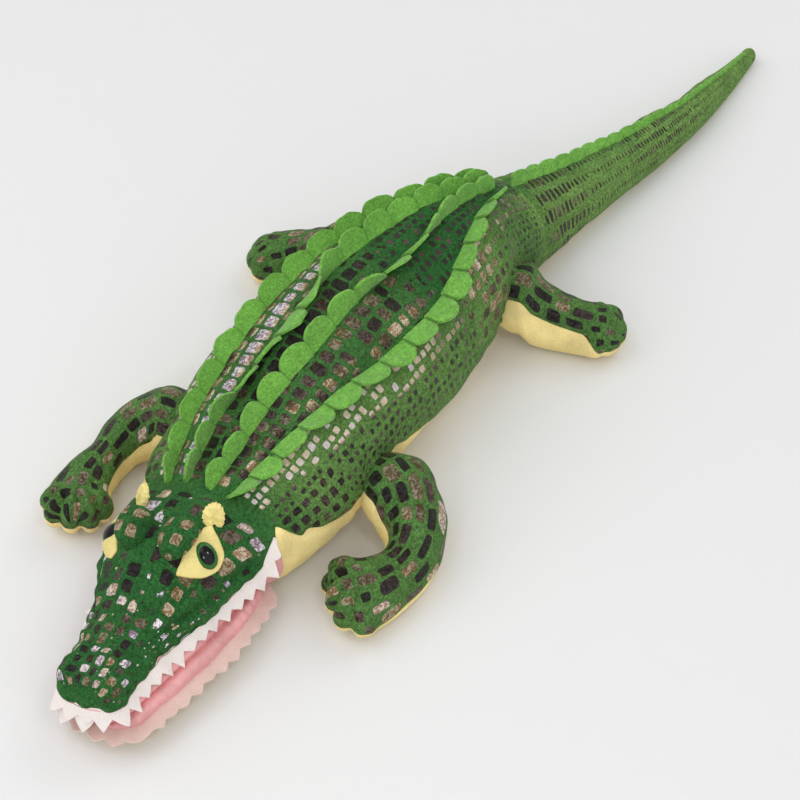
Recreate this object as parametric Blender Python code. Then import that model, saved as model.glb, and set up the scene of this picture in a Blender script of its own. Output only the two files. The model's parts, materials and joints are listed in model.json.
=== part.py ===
"""Stuffed plush crocodile, about one metre from snout to tail tip.

Every soft member is built as it is sewn: a green skin over the back, a yellow
panel under it, and a core of stuffing inside. Metres, +X towards the snout,
+Y the crocodile's left, +Z up, the origin on the flat of the belly.
"""
import math

import bmesh
import bpy
from mathutils import Vector

# Cloth, felt and fits
FABRIC = 0.002
LINING = 0.0016
FELT = 0.0024
GAP = 0.0003
FLOOR_FLAT = 0.0005
FACET_ROOM = 0.0005

# Body, from the neck pivot to the tail pivot
BODY_LENGTH = 0.415
BODY_WIDTH = 0.200
BODY_HEIGHT = 0.136
BODY_HEADING_DEG = 187.7
BODY_TURN_DEG = -18.2
BODY_SEAM_DEG = 118.0
ORIGIN_SHARE = 0.47

# Head, from the neck pivot to the snout tip
HEAD_LENGTH = 0.197
HEAD_WIDTH = 0.122
HEAD_HEIGHT = 0.098
HEAD_HEADING_DEG = 7.0
HEAD_ROLL_DEG = 7.0
ROLL_LENGTH = 0.060
SNOUT_ROUND = 0.020
MOUTH_LINE = 0.046

# Lower jaw, hinged at the mouth corner
JAW_PLACE = 0.026
JAW_WIDTH = 0.121
JAW_HEIGHT = 0.017
JAW_TIP_INSET = 0.010
JAW_ASIDE = 0.001
JAW_ROUND = 0.016

# Tail, in a front and a rear part
TAIL_WIDTH = 0.100
TAIL_HEIGHT = 0.086
TAIL_FRONT_LENGTH = 0.175
TAIL_REAR_LENGTH = 0.212
TAIL_HEADING_DEG = 167.5
TAIL_REAR_TURN_DEG = 14.5
TAIL_TIP_ROUND = 0.010
TAIL_SEAM_DEG = 136.0

# Legs
FRONT_ROOT_RADIUS = 0.029
FRONT_ROOT_HEIGHT = 0.044
FRONT_LEG_WIDTH = 0.058
FRONT_LEG_HEIGHT = 0.052
HIND_ROOT_RADIUS = 0.032
HIND_ROOT_HEIGHT = 0.045
HIND_LEG_WIDTH = 0.060
HIND_LEG_HEIGHT = 0.054
PAW_ROUND = 0.026
TOE_NOTCH = 0.007
LEG_SEAM_DEG = 100.0

# Frills of felt along the back and the tail
FRILL_PITCH = 0.0245
FRILL_HEIGHT = 0.021
FRILL_NOTCH = 0.011
FRILL_START_INSET = 0.029
FRILL_END_INSET = 0.021
CREST_PITCH = 0.021
CREST_HEIGHT = 0.013
CREST_NOTCH = 0.006

# Teeth, cut in zigzag strips
TOOTH_PITCH = 0.0110
TOOTH_LENGTH = 0.0125
TOOTH_BAND = 0.0045
TOOTH_FLARE_DEG = 168.0
LOWER_TOOTH_LENGTH = 0.0140
LOWER_TOOTH_BAND = 0.0105
LOWER_FLARE_DEG = 74.0
FANG_PITCH = 0.0170
FANG_LENGTH = 0.024
FANG_COUNT = 3

# Eyes, lids and ears
FACE_TURN_DEG = -6.0
EYE_PLACE = 0.058
EYE_ANGLE_DEG = 42.0
EYE_RADIUS = 0.0105
EYE_DOME = 0.0065
EYE_FLANGE = 0.0008
EYE_STEM_RADIUS = 0.0022
EYE_STEM_LENGTH = 0.0095
WASHER_RADIUS = 0.0075
WASHER_THICKNESS = 0.0016
WASHER_SINK = 0.0024
PATCH_LENGTH = 0.032
PATCH_WIDTH = 0.030
BROW_PLACE = 0.060
BROW_ANGLE_DEG = 15.0
BROW_LENGTH = 0.036
BROW_WIDTH = 0.022
BROW_HEIGHT = 0.010
EAR_PLACE = 0.030
EAR_ANGLE_DEG = 27.0
EAR_LENGTH = 0.020
EAR_WIDTH = 0.026
EAR_HEIGHT = 0.013

# Swings that the shapes leave room for
NECK_RANGE_DEG = 15.0
TAIL_RANGE_DEG = 18.0
ROOM_DEG = 5.0

# Rows of a form: place along it, half width, low edge, high edge
BODY_ROW_SHARES = [
    (0.000, 0.355, 0.00, 0.710),
    (0.080, 0.410, 0.00, 0.750),
    (0.190, 0.455, 0.00, 0.830),
    (0.320, 0.470, 0.00, 0.925),
    (0.450, 0.480, 0.00, 0.985),
    (0.600, 0.470, 0.00, 1.000),
    (0.740, 0.415, 0.00, 0.985),
    (0.860, 0.330, 0.00, 0.945),
    (0.950, 0.265, 0.00, 0.840),
    (1.000, 0.245, 0.00, 0.770),
]
HEAD_ROW_SHARES = [
    (0.000, 0.580, 0.00, 0.960),
    (0.160, 0.570, 0.00, 1.000),
    (0.340, 0.525, 0.00, 1.000),
    (0.480, 0.470, 0.00, 0.900),
    (0.610, 0.400, 0.00, 0.780),
    (0.740, 0.350, 0.00, 0.700),
    (0.870, 0.315, 0.00, 0.665),
    (1.000, 0.285, 0.00, 0.670),
]
JAW_ROW_SHARES = [
    (0.000, 0.480, 0.00, 2.000),
    (0.200, 0.500, 0.00, 2.000),
    (0.400, 0.480, 0.00, 2.000),
    (0.600, 0.410, 0.00, 2.000),
    (0.800, 0.340, 0.00, 2.000),
    (1.000, 0.265, 0.00, 2.000),
]
TAIL_ROW_SHARES = [
    (0.000, 0.455, 0.00, 1.120),
    (0.180, 0.350, 0.00, 0.860),
    (0.330, 0.285, 0.00, 0.680),
    (0.480, 0.245, 0.00, 0.560),
    (0.700, 0.180, 0.00, 0.410),
    (0.880, 0.115, 0.00, 0.280),
    (1.000, 0.070, 0.00, 0.190),
]
FRONT_LEG_ROW_SHARES = [
    (0.000, 0.480, 0.06, 1.120),
    (0.250, 0.460, 0.02, 1.080),
    (0.450, 0.440, 0.00, 0.980),
    (0.650, 0.400, 0.00, 0.880),
    (0.820, 0.450, 0.00, 0.840),
    (1.000, 0.530, 0.00, 0.840),
]
HIND_LEG_ROW_SHARES = [
    (0.000, 0.520, 0.06, 1.120),
    (0.350, 0.480, 0.02, 1.020),
    (0.700, 0.450, 0.00, 0.880),
    (1.000, 0.440, 0.00, 0.780),
]

# Frill lines: place along the body, then the angle of each frill from the top
FRILL_ROW_SHARES = [
    (0.000, 1.5, 18.0, -20.0, -36.0),
    (0.200, 4.0, 28.0, -19.0, -37.0),
    (0.500, 6.0, 36.0, -17.0, -37.0),
    (0.750, 6.0, 34.0, -12.0, -33.0),
    (0.900, 5.0, 23.0, -8.0, -22.0),
    (1.000, 4.0, 13.0, -4.0, -13.0),
]

# Frills: column of the angles, lean away from the middle
FRILLS = {
    "frill_inner_left": (0, 4.0),
    "frill_outer_left": (1, 40.0),
    "frill_inner_right": (2, 4.0),
    "frill_outer_right": (3, -14.0),
}

# Legs: kind, place along the body, side, heading, arcs of length and turn
LEGS = {
    "front_left": ("front", 0.258, 1, 68.0, [(0.012, 0.0), (0.058, -76.0), (0.054, -20.0)]),
    "front_right": ("front", 0.190, -1, -84.0, [(0.049, 80.0), (0.048, 0.0), (0.028, 32.0)]),
    "hind_left": ("hind", 0.880, 1, 106.0, [(0.040, 0.0), (0.030, 8.0)]),
    "hind_right": ("hind", 0.720, -1, -98.0, [(0.004, 0.0), (0.044, 60.0)]),
}
ROOT_OFFSET_SHARE = 0.45

# Counts and ratios
WAIST_SHARE = 0.40
COLLAR_BLEND_SHARE = 0.25
DOME_DEGS = (76.0, 48.0, 20.0)
JAW_BACK_DEGS = (80.0, 56.0, 28.0)
TIP_DEGS = (28.0, 52.0, 72.0, 84.0)
CUP_DEGS = (86.0, 66.0, 48.0, 34.0)
FACET_DEG = 22.5
BALL_LATITUDES = (-84.0, -63.0, -42.0, -21.0, 0.0, 21.0, 42.0, 63.0, 84.0)
TOE_STEP_DEG = 18.0
TOE_NOTCH_DEGS = (0.0, 36.0)
SCALLOP_PHASES = (0.0, 0.24, 0.76)
WELD_SHARE = 0.02
SMOOTH_DEG = 40.0
DRILL_SIDES = 16
BODY_STEPS = 12
BODY_SIDES = (12, 6)
HEAD_STEPS = 8
HEAD_SIDES = (10, 6)
JAW_STEPS = 6
JAW_SIDES = 8
TAIL_STEPS = 7
TAIL_SIDES = (10, 4)
LEG_STEPS = 5
LEG_SIDES = (10, 6)
EDGE_STEPS = 14
PATCH_SIDES = 14
PATCH_RINGS = (0.34, 0.68, 1.0)
EYE_DEGS = (0.0, 25.0, 50.0, 75.0, 87.0)
TEARDROP_SHARE = 0.35
TEARDROP_POWER = 6
STRAIGHT = 1e-9


class Path:
    """A level centreline made of arcs, each a length and a turn in degrees."""

    def __init__(self, start, heading, arcs):
        self.start = Vector(start)
        self.heading = math.radians(heading)
        self.arcs = arcs
        self.length = sum(length for length, turn in arcs)

    def at(self, distance):
        """The point and the heading at a distance, straight on past both ends."""
        point = self.start.copy()
        heading = self.heading
        left = distance
        for length, turn in self.arcs:
            step = min(max(left, 0), length)
            bend = math.radians(turn) * step / length
            chord = step if abs(bend) < STRAIGHT else step * math.sin(bend / 2) / (bend / 2)
            point += Vector((math.cos(heading + bend / 2), math.sin(heading + bend / 2))) * chord
            heading += bend
            left -= step
        over = min(distance, 0) + max(left, 0)
        point += Vector((math.cos(heading), math.sin(heading))) * over
        return point, heading


def read_rows(rows, place):
    """Values of a table at a place, on a smooth curve through its rows."""
    last = len(rows) - 1
    k = 0
    while k < last - 1 and place > rows[k + 1][0]:
        k += 1
    span = rows[k + 1][0] - rows[k][0]
    t = min(max((place - rows[k][0]) / span, 0), 1)
    values = []
    for column in range(1, len(rows[0])):
        ends = []
        for j in (k, k + 1):
            low, high = max(j - 1, 0), min(j + 1, last)
            ends.append((rows[high][column] - rows[low][column]) / (rows[high][0] - rows[low][0]) * span)
        a, b = rows[k][column], rows[k + 1][column]
        m, n = ends
        values.append(a + m * t + (3 * (b - a) - 2 * m - n) * t ** 2 + (2 * (a - b) + m + n) * t ** 3)
    return values


def ease(t):
    """A smooth rise from 0 to 1."""
    t = min(max(t, 0), 1)
    return t * t * (3 - 2 * t)


def steps(low, high, count):
    """Evenly spaced values, both ends included."""
    return [low + (high - low) * k / count for k in range(count + 1)]


class Ring:
    """One cross-section: its frame, its half width and its three levels."""

    def __init__(self, origin, left, up, half, low, mid, high):
        self.origin, self.left, self.up = origin, left, up
        self.half, self.low, self.mid, self.high = half, low, mid, high
        self.notch = None
        self.floor = None
        self.ceiling = None

    def reach(self, angle):
        """The height from the waist to the edge on the side of an angle."""
        return self.high - self.mid if math.cos(angle) > 0 else self.mid - self.low

    def point(self, degrees):
        """The surface point at an angle from the top, positive to the left."""
        angle = math.radians(degrees)
        rise = self.mid + self.reach(angle) * math.cos(angle)
        if self.floor is not None:
            rise = max(rise, self.floor)
        if self.ceiling is not None:
            rise = min(rise, self.ceiling)
        point = self.origin + self.left * self.half * math.sin(angle) + self.up * rise
        if self.notch:
            fold = abs((degrees + 180) % 360 - 180)
            fold = min(fold, 180 - fold)
            near = min(abs(fold - notch) for notch in TOE_NOTCH_DEGS) / TOE_STEP_DEG
            point += self.notch * max(1 - near, 0)
        return point

    def normal(self, degrees):
        """The outward direction at an angle, in the plane of the section."""
        angle = math.radians(degrees)
        across = self.left * math.sin(angle) * self.reach(angle)
        return (across + self.up * math.cos(angle) * self.half).normalized()

    def around(self, degrees):
        """The direction of a growing angle, and the length of one degree there."""
        angle = math.radians(degrees)
        turn = self.left * math.cos(angle) * self.half - self.up * math.sin(angle) * self.reach(angle)
        return turn.normalized(), turn.length * math.radians(1)


class Form:
    """A soft member that swells and tapers along a path."""

    def __init__(self, path, rows, width, height, side=1, table=(0, 1), roll=0, mid=None):
        self.path, self.rows = path, rows
        self.width, self.height = width, height
        self.side, self.table = side, table
        self.roll, self.mid = roll, mid
        self.collars = []
        self.facets = None

    def frame(self, distance):
        """The origin on the floor, and the left and up directions, at a distance."""
        point, heading = self.path.at(distance)
        roll = math.radians(self.roll) * ease(distance / ROLL_LENGTH)
        level = Vector((-math.sin(heading), math.cos(heading), 0)) * self.side
        left = level * math.cos(roll) + Vector((0, 0, 1)) * math.sin(roll)
        up = Vector((0, 0, 1)) * math.cos(roll) - level * math.sin(roll)
        aside = level * math.sin(roll) * (self.mid or 0)
        return Vector((point.x, point.y, 0)) + aside, left, up

    def along(self, distance):
        """The level direction of growth at a distance."""
        heading = self.path.at(distance)[1]
        return Vector((math.cos(heading), math.sin(heading), 0))

    def ring(self, distance, inset=0):
        """The section at a distance, drawn in by an inset."""
        share = self.table[0] + (self.table[1] - self.table[0]) * distance / self.path.length
        half, low, high = read_rows(self.rows, share)
        low = low * self.height - FLOOR_FLAT
        high = high * self.height
        values = [half * self.width, low, self.mid or low + (high - low) * WAIST_SHARE, high]
        for place, collar in self.collars:
            near = ease(1 - abs(distance - place) / (self.path.length * COLLAR_BLEND_SHARE))
            values = [v + (c - v) * near for v, c in zip(values, collar)]
        half, low, mid, high = values
        origin, left, up = self.frame(distance)
        return Ring(origin, left, up, half - inset, low + inset, mid, high - inset)

    def seat(self, distance, degrees):
        """The point on the faceted skin at a distance and an angle."""
        stations, angles = self.facets
        i = max(k for k in range(len(stations) - 1) if k == 0 or stations[k] <= distance)
        j = max(k for k in range(len(angles) - 1) if k == 0 or angles[k] <= degrees)
        t = (distance - stations[i]) / (stations[i + 1] - stations[i])
        u = (degrees - angles[j]) / (angles[j + 1] - angles[j])
        rows = [self.ring(place) for place in stations[i:i + 2]]
        ends = [ring.point(angles[j]).lerp(ring.point(angles[j + 1]), u) for ring in rows]
        return ends[0].lerp(ends[1], t)

    def surface(self, distance, degrees):
        """The point and the true outward direction on the surface."""
        ring = self.ring(distance)
        ahead = self.ring(distance + FABRIC).point(degrees) - self.ring(distance - FABRIC).point(degrees)
        axis = ring.around(degrees)[0].cross(ahead).normalized()
        return self.seat(distance, degrees), axis if axis.dot(ring.normal(degrees)) > 0 else -axis

    def dome(self, distance, reach, degrees, inset=0, out=1):
        """A section of a rounded end past a distance, at an angle round it."""
        base = self.ring(distance, inset)
        angle = math.radians(degrees)
        shrink = math.cos(angle)
        origin = base.origin + self.along(distance) * (reach - inset) * math.sin(angle) * out
        return Ring(origin, base.left, base.up, base.half * shrink,
                    base.mid + (base.low - base.mid) * shrink, base.mid,
                    base.mid + (base.high - base.mid) * shrink)


class Joint:
    """A ball of stuffing on one form that turns in the hollow end of another."""

    def __init__(self, guest, swing):
        self.guest = guest
        base = guest.ring(0)
        self.radius = base.half
        self.set_back = self.radius * math.sin(math.radians(swing + ROOM_DEG))
        self.angle = swing + ROOM_DEG

    def collar(self):
        """Half width and levels of the host where it closes round the ball."""
        ring = self.guest.dome(0, self.radius, self.angle, out=-1)
        room = GAP + 2 * FACET_ROOM + FABRIC
        return ring.half + room, ring.low - room, ring.mid, ring.high + room

    def hollow(self):
        """Rings of the host's cup, from its depth to its mouth."""
        return [self.guest.dome(0, self.radius, a, -ball_room(self.radius), out=-1) for a in CUP_DEGS]

    def core_start(self):
        """How far from the pivot the host's stuffing begins."""
        return (self.radius + ball_room(self.radius)) * math.sin(math.radians(CUP_DEGS[-1]))


def ball_room(radius):
    """The room round a ball that keeps a faceted hollow a gap away from it."""
    return (radius + GAP) / math.cos(math.radians(FACET_DEG / 2)) ** 2 - radius


def make_material(name, colour, roughness):
    """A plain cloth, felt or plastic colour."""
    material = bpy.data.materials.new(name)
    material.use_nodes = True
    shader = material.node_tree.nodes["Principled BSDF"]
    shader.inputs["Base Color"].default_value = (*colour, 1)
    shader.inputs["Roughness"].default_value = roughness
    material.diffuse_color = (*colour, 1)
    return material


def turn_outwards(build):
    """Makes every face of a closed body look outwards."""
    bmesh.ops.recalc_face_normals(build, faces=build.faces)
    if build.calc_volume(signed=True) < 0:
        bmesh.ops.reverse_faces(build, faces=build.faces)


def closed_mesh(name, points, faces, material):
    """A named object from points and faces, its faces turned outwards."""
    mesh = bpy.data.meshes.new(name)
    build = bmesh.new()
    corners = [build.verts.new(point) for point in points]
    for face in faces:
        build.faces.new([corners[k] for k in face])
    bmesh.ops.remove_doubles(build, verts=build.verts, dist=GAP * WELD_SHARE)
    turn_outwards(build)
    build.to_mesh(mesh)
    build.free()
    mesh.materials.append(material)
    piece = bpy.data.objects.new(name, mesh)
    bpy.context.scene.collection.objects.link(piece)
    mesh.shade_smooth()
    mesh.set_sharp_from_angle(angle=math.radians(SMOOTH_DEG))
    return piece


def cut_on_floor(piece):
    """Takes off what reaches below the floor, and closes the flat."""
    build = bmesh.new()
    build.from_mesh(piece.data)
    parts = build.verts[:] + build.edges[:] + build.faces[:]
    bmesh.ops.bisect_plane(build, geom=parts, plane_co=(0, 0, 0), plane_no=(0, 0, 1), clear_inner=True)
    rim = [edge for edge in build.edges if edge.is_boundary]
    bmesh.ops.edgeloop_fill(build, edges=rim)
    turn_outwards(build)
    build.to_mesh(piece.data)
    build.free()
    return piece


def shell_panel(name, outer, inner, angles, material):
    """A sewn panel between two lists of rings, over a list of angles for each ring."""
    rows, columns = len(outer), len(angles[0])
    points = [ring.point(a) for ring, row in zip(outer, angles) for a in row]
    points += [ring.point(a) for ring, row in zip(inner, angles) for a in row]

    def at(side, i, j):
        return (side * rows + i) * columns + j

    faces = []
    for i in range(rows - 1):
        for j in range(columns - 1):
            for side in (0, 1):
                faces.append([at(side, i, j), at(side, i + 1, j), at(side, i + 1, j + 1)])
                faces.append([at(side, i, j), at(side, i + 1, j + 1), at(side, i, j + 1)])
        for j in (0, columns - 1):
            faces.append([at(0, i, j), at(0, i + 1, j), at(1, i + 1, j), at(1, i, j)])
    for j in range(columns - 1):
        for i in (0, rows - 1):
            faces.append([at(0, i, j), at(0, i, j + 1), at(1, i, j + 1), at(1, i, j)])
    return closed_mesh(name, points, faces, material)


def core(name, rings, edge, counts, material):
    """A closed solid through a list of rings, faceted as the panels over it are."""
    angles = steps(-edge, edge, counts[0]) + steps(edge, 360 - edge, counts[1])[1:-1]
    count = len(angles)
    points = [ring.point(a) for ring in rings for a in angles]
    faces = []
    for i in range(len(rings) - 1):
        for j in range(count):
            n = (j + 1) % count
            faces.append([i * count + j, (i + 1) * count + j, (i + 1) * count + n])
            faces.append([i * count + j, (i + 1) * count + n, i * count + n])
    for i, ring in ((0, rings[0]), (len(rings) - 1, rings[-1])):
        points.append(ring.origin + ring.up * ring.mid)
        for j in range(count):
            faces.append([i * count + j, i * count + (j + 1) % count, len(points) - 1])
    return closed_mesh(name, points, faces, material)


def seam_angles(rings, edge, count, under=False):
    """Angles over or under the member for each ring, half a gap short of the seam."""
    rows = []
    for ring in rings:
        short = min(math.degrees(GAP / ring.half), ROOM_DEG)
        if under:
            rows.append(steps(edge + short, 360 - edge - short, count))
        else:
            rows.append(steps(short - edge, edge - short, count))
    return rows


def skin_pair(name, under_name, form, places, start, end, edge, counts, materials):
    """The skin over a member and the panel under it, as sewn shells."""
    outer, inner = [], []
    for inset, rings in ((0, outer), (FABRIC, inner)):
        rings += [form.dome(0, start, a, inset, out=-1) for a in DOME_DEGS if start]
        rings += [form.ring(d, inset) for d in places]
        if end:
            rings += [form.dome(places[-1], end, a, inset) for a in TIP_DEGS]
    if end and form.height in (FRONT_LEG_HEIGHT, HIND_LEG_HEIGHT):
        for rings in (outer, inner):
            for ring, a in zip(rings[-len(TIP_DEGS):], TIP_DEGS):
                ring.notch = form.along(places[-1]) * -TOE_NOTCH * math.sin(math.radians(a))
    over = shell_panel(name, outer, inner, seam_angles(outer, edge, counts[0]), materials[0])
    under = shell_panel(under_name, outer, inner, seam_angles(outer, edge, counts[1], True), materials[1])
    return over, cut_on_floor(under)


def edge_line(form, first, last, reach, inset):
    """Points round a jaw's edge, from its left side past the tip to its right."""
    line = []
    for side in (1, -1):
        half = []
        for distance in steps(first, last, EDGE_STEPS):
            ring = form.ring(distance, inset)
            half.append((ring.point(90 * side), ring.left * side, ring.up))
        for degrees in steps(0, 90, EDGE_STEPS)[1:]:
            ring = form.dome(last, reach, degrees, inset)
            angle = math.radians(degrees)
            out = ring.left * side * math.cos(angle) + form.along(last) * math.sin(angle)
            half.append((ring.point(90 * side), out, ring.up))
        line += half if side == 1 else half[-2::-1]
    return line


def line_lengths(line):
    """Running length at each point of a line."""
    lengths = [0]
    for a, b in zip(line, line[1:]):
        lengths.append(lengths[-1] + (b[0] - a[0]).length)
    return lengths


def read_line(line, lengths, distance):
    """The point and directions of a line at a running length."""
    k = 0
    while k < len(line) - 2 and distance > lengths[k + 1]:
        k += 1
    t = (distance - lengths[k]) / (lengths[k + 1] - lengths[k])
    return [a.lerp(b, t) for a, b in zip(line[k], line[k + 1])]


def strip(name, columns, thickness, material):
    """A cut strip: each column is a foot, a direction, a length and a flat side."""
    points = []
    for foot, direction, length, flat in columns:
        for side in (-1, 1):
            points.append(foot + flat * side * thickness / 2)
            points.append(foot + flat * side * thickness / 2 + direction * length)
    faces = []
    for k in range(len(columns) - 1):
        a, b = 4 * k, 4 * k + 4
        faces += [[a, b, b + 1, a + 1], [a + 2, a + 3, b + 3, b + 2]]
        faces += [[a, a + 2, b + 2, b], [a + 1, b + 1, b + 3, a + 3]]
    last = 4 * len(columns) - 4
    faces += [[0, 1, 3, 2], [last, last + 2, last + 3, last + 1]]
    return closed_mesh(name, points, faces, material)


def zigzag(name, line, first, last, pitch, band, length, flare, material):
    """Teeth along part of a jaw's edge, hanging or flared by an angle."""
    lengths = line_lengths(line)
    count = max(round((last - first) / pitch), 1)
    columns = []
    for k, distance in enumerate(steps(first, last, 2 * count)):
        foot, out, up = read_line(line, lengths, distance)
        out, up = out.normalized(), up.normalized()
        tilt = math.radians(flare)
        direction = out * math.sin(tilt) + up * math.cos(tilt)
        flat = out * math.cos(tilt) - up * math.sin(tilt)
        lift = GAP + LINING / 2 * abs(math.sin(tilt))
        foot = foot + up * lift * math.copysign(1, math.cos(tilt))
        columns.append((foot, direction, length if k % 2 else band, flat))
    return strip(name, columns, LINING, material)


def frill(name, form, first, last, angle_at, lean, pitch, notch, height, material):
    """A scalloped felt strip that stands along a line on a member."""
    count = max(round((last - first) / pitch), 1)
    columns = []
    for k in range(count * len(SCALLOP_PHASES) + 1):
        phase = SCALLOP_PHASES[k % len(SCALLOP_PHASES)]
        distance = first + (last - first) * (k // len(SCALLOP_PHASES) + phase) / count
        ring = form.ring(distance)
        degrees = angle_at(distance)
        normal = ring.normal(degrees)
        turn = ring.around(degrees)[0] * math.copysign(1, degrees)
        tilt = math.radians(lean)
        direction = normal * math.cos(tilt) + turn * math.sin(tilt)
        flat = turn * math.cos(tilt) - normal * math.sin(tilt)
        foot = form.seat(distance, degrees) + normal * (GAP + FACET_ROOM + FELT / 2 * abs(math.sin(tilt)))
        swell = math.sqrt(max(1 - (2 * phase - 1) ** 2, 0))
        columns.append((foot, direction, notch + (height - notch) * swell, flat))
    return strip(name, columns, FELT, material)


def patch(name, form, place, degrees, length, width, edge, rise, outline, material):
    """A pad that lies on a member, flat or domed, with a given outline."""
    rings = PATCH_RINGS
    points = []
    for layer in (0, 1):
        for share in rings:
            for k in range(PATCH_SIDES):
                turn = 2 * math.pi * k / PATCH_SIDES
                grow = outline(turn) * share
                ring = form.ring(place + length / 2 * math.cos(turn) * grow)
                one = form.ring(place).around(degrees)[1]
                angle = degrees + width / 2 * math.sin(turn) * grow / one
                lift = GAP + FACET_ROOM
                if layer:
                    lift += edge + rise * math.sqrt(1 - share * share)
                spot = place + length / 2 * math.cos(turn) * grow
                points.append(form.seat(spot, angle) + ring.normal(angle) * lift)
    middle = form.ring(place)
    foot = form.seat(place, degrees) + middle.normal(degrees) * (GAP + FACET_ROOM)
    points += [foot, foot + middle.normal(degrees) * (edge + rise)]
    faces = []
    for k in range(PATCH_SIDES):
        n = (k + 1) % PATCH_SIDES
        for layer in (0, 1):
            base = layer * len(rings) * PATCH_SIDES
            for r in range(len(rings) - 1):
                a, b = base + r * PATCH_SIDES, base + (r + 1) * PATCH_SIDES
                faces.append([a + k, a + n, b + n, b + k])
            outer = base + (len(rings) - 1) * PATCH_SIDES
            faces.append([base + k, base + n, len(points) - 2 + layer])
        low, high = (len(rings) - 1) * PATCH_SIDES, (2 * len(rings) - 1) * PATCH_SIDES
        faces.append([low + k, low + n, high + n, high + k])
    return closed_mesh(name, points, faces, material)


def turned(name, foot, axis, profile, material):
    """A solid of revolution about an axis; a profile of radius and height."""
    side = axis.orthogonal().normalized()
    other = axis.cross(side)
    points, faces = [], []
    for radius, height in profile:
        for k in range(DRILL_SIDES):
            turn = 2 * math.pi * k / DRILL_SIDES
            points.append(foot + axis * height + (side * math.cos(turn) + other * math.sin(turn)) * radius)
    for i in range(len(profile) - 1):
        for k in range(DRILL_SIDES):
            n = (k + 1) % DRILL_SIDES
            a, b = i * DRILL_SIDES, (i + 1) * DRILL_SIDES
            faces.append([a + k, a + n, b + n, b + k])
    if profile[0] == profile[-1]:
        return closed_mesh(name, points, faces, material)
    faces.append(list(range(DRILL_SIDES)))
    last = (len(profile) - 1) * DRILL_SIDES
    faces.append([last + k for k in range(DRILL_SIDES)])
    return closed_mesh(name, points, faces, material)


def cut_away(piece, cutter):
    """Takes a hidden cutter out of a piece."""
    cutter.hide_render = True
    cutter.display_type = "WIRE"
    cut = piece.modifiers.new(cutter.name, "BOOLEAN")
    cut.object = cutter
    cut.operation = "DIFFERENCE"
    cut.solver = "EXACT"


# Members of the toy, each a form on its own path
def body_form():
    """The trunk, laid so that the origin is under its belly."""
    arcs = [(BODY_LENGTH, BODY_TURN_DEG)]
    loose = Path((0, 0), BODY_HEADING_DEG, arcs)
    start = -loose.at(BODY_LENGTH * ORIGIN_SHARE)[0]
    return Form(Path(start, BODY_HEADING_DEG, arcs), BODY_ROW_SHARES, BODY_WIDTH, BODY_HEIGHT, side=-1)


def head_form(body):
    """The head, from the neck pivot to where the snout rounds off."""
    path = Path(body.path.start, HEAD_HEADING_DEG, [(HEAD_LENGTH - SNOUT_ROUND, 0.0)])
    return Form(path, HEAD_ROW_SHARES, HEAD_WIDTH, HEAD_HEIGHT, roll=HEAD_ROLL_DEG, mid=MOUTH_LINE)


def jaw_form(head):
    """The lower jaw, rolled as the head is."""
    start, heading = head.path.at(JAW_PLACE)
    start = start + Vector((-math.sin(heading), math.cos(heading))) * JAW_ASIDE
    length = HEAD_LENGTH - JAW_PLACE - JAW_TIP_INSET - JAW_ROUND
    form = Form(Path(start, HEAD_HEADING_DEG, [(length, 0.0)]), JAW_ROW_SHARES,
                JAW_WIDTH, JAW_HEIGHT, mid=JAW_HEIGHT)
    rolled = form.frame
    form.frame = lambda distance: (rolled(distance)[0],) + head.frame(ROLL_LENGTH)[1:]
    return form


def tail_forms(body):
    """The two parts of the tail, read from one table."""
    whole = TAIL_FRONT_LENGTH + TAIL_REAR_LENGTH
    share = TAIL_FRONT_LENGTH / whole
    path = Path(body.path.at(BODY_LENGTH)[0], TAIL_HEADING_DEG, [(TAIL_FRONT_LENGTH, 0.0)])
    front = Form(path, TAIL_ROW_SHARES, TAIL_WIDTH, TAIL_HEIGHT, side=-1, table=(0, share))
    length = TAIL_REAR_LENGTH - TAIL_TIP_ROUND
    path = Path(path.at(TAIL_FRONT_LENGTH)[0], TAIL_HEADING_DEG, [(length, TAIL_REAR_TURN_DEG)])
    rear = Form(path, TAIL_ROW_SHARES, TAIL_WIDTH, TAIL_HEIGHT, side=-1, table=(share, 1))
    return front, rear


def leg_form(body, kind, place, side, heading, arcs):
    """A leg whose root is a ball beside the body."""
    front = kind == "front"
    radius = FRONT_ROOT_RADIUS if front else HIND_ROOT_RADIUS
    height = FRONT_ROOT_HEIGHT if front else HIND_ROOT_HEIGHT
    ring = body.ring(BODY_LENGTH * place)
    drop = (ring.mid - height) / (ring.mid - ring.low)
    surface = ring.half * math.sqrt(1 - drop * drop)
    start = ring.origin + ring.left * side * (surface + radius * ROOT_OFFSET_SHARE)
    rows = FRONT_LEG_ROW_SHARES if front else HIND_LEG_ROW_SHARES
    width = FRONT_LEG_WIDTH if front else HIND_LEG_WIDTH
    tall = FRONT_LEG_HEIGHT if front else HIND_LEG_HEIGHT
    form = Form(Path(start.xy, heading, arcs), rows, width, tall)
    form.collars.append((0, (radius, height - radius, height, height + radius)))
    return form


def members():
    """All forms but the legs, fitted to each other at the joints."""
    body = body_form()
    head = head_form(body)
    jaw = jaw_form(head)
    tail_front, tail_rear = tail_forms(body)
    neck = Joint(head, NECK_RANGE_DEG)
    rump = Joint(tail_front, TAIL_RANGE_DEG)
    bend = Joint(tail_rear, TAIL_RANGE_DEG)
    body.collars += [(neck.set_back, neck.collar()), (BODY_LENGTH - rump.set_back, rump.collar())]
    tail_front.collars.append((TAIL_FRONT_LENGTH - bend.set_back, bend.collar()))
    return body, head, jaw, tail_front, tail_rear, neck, rump, bend


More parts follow.
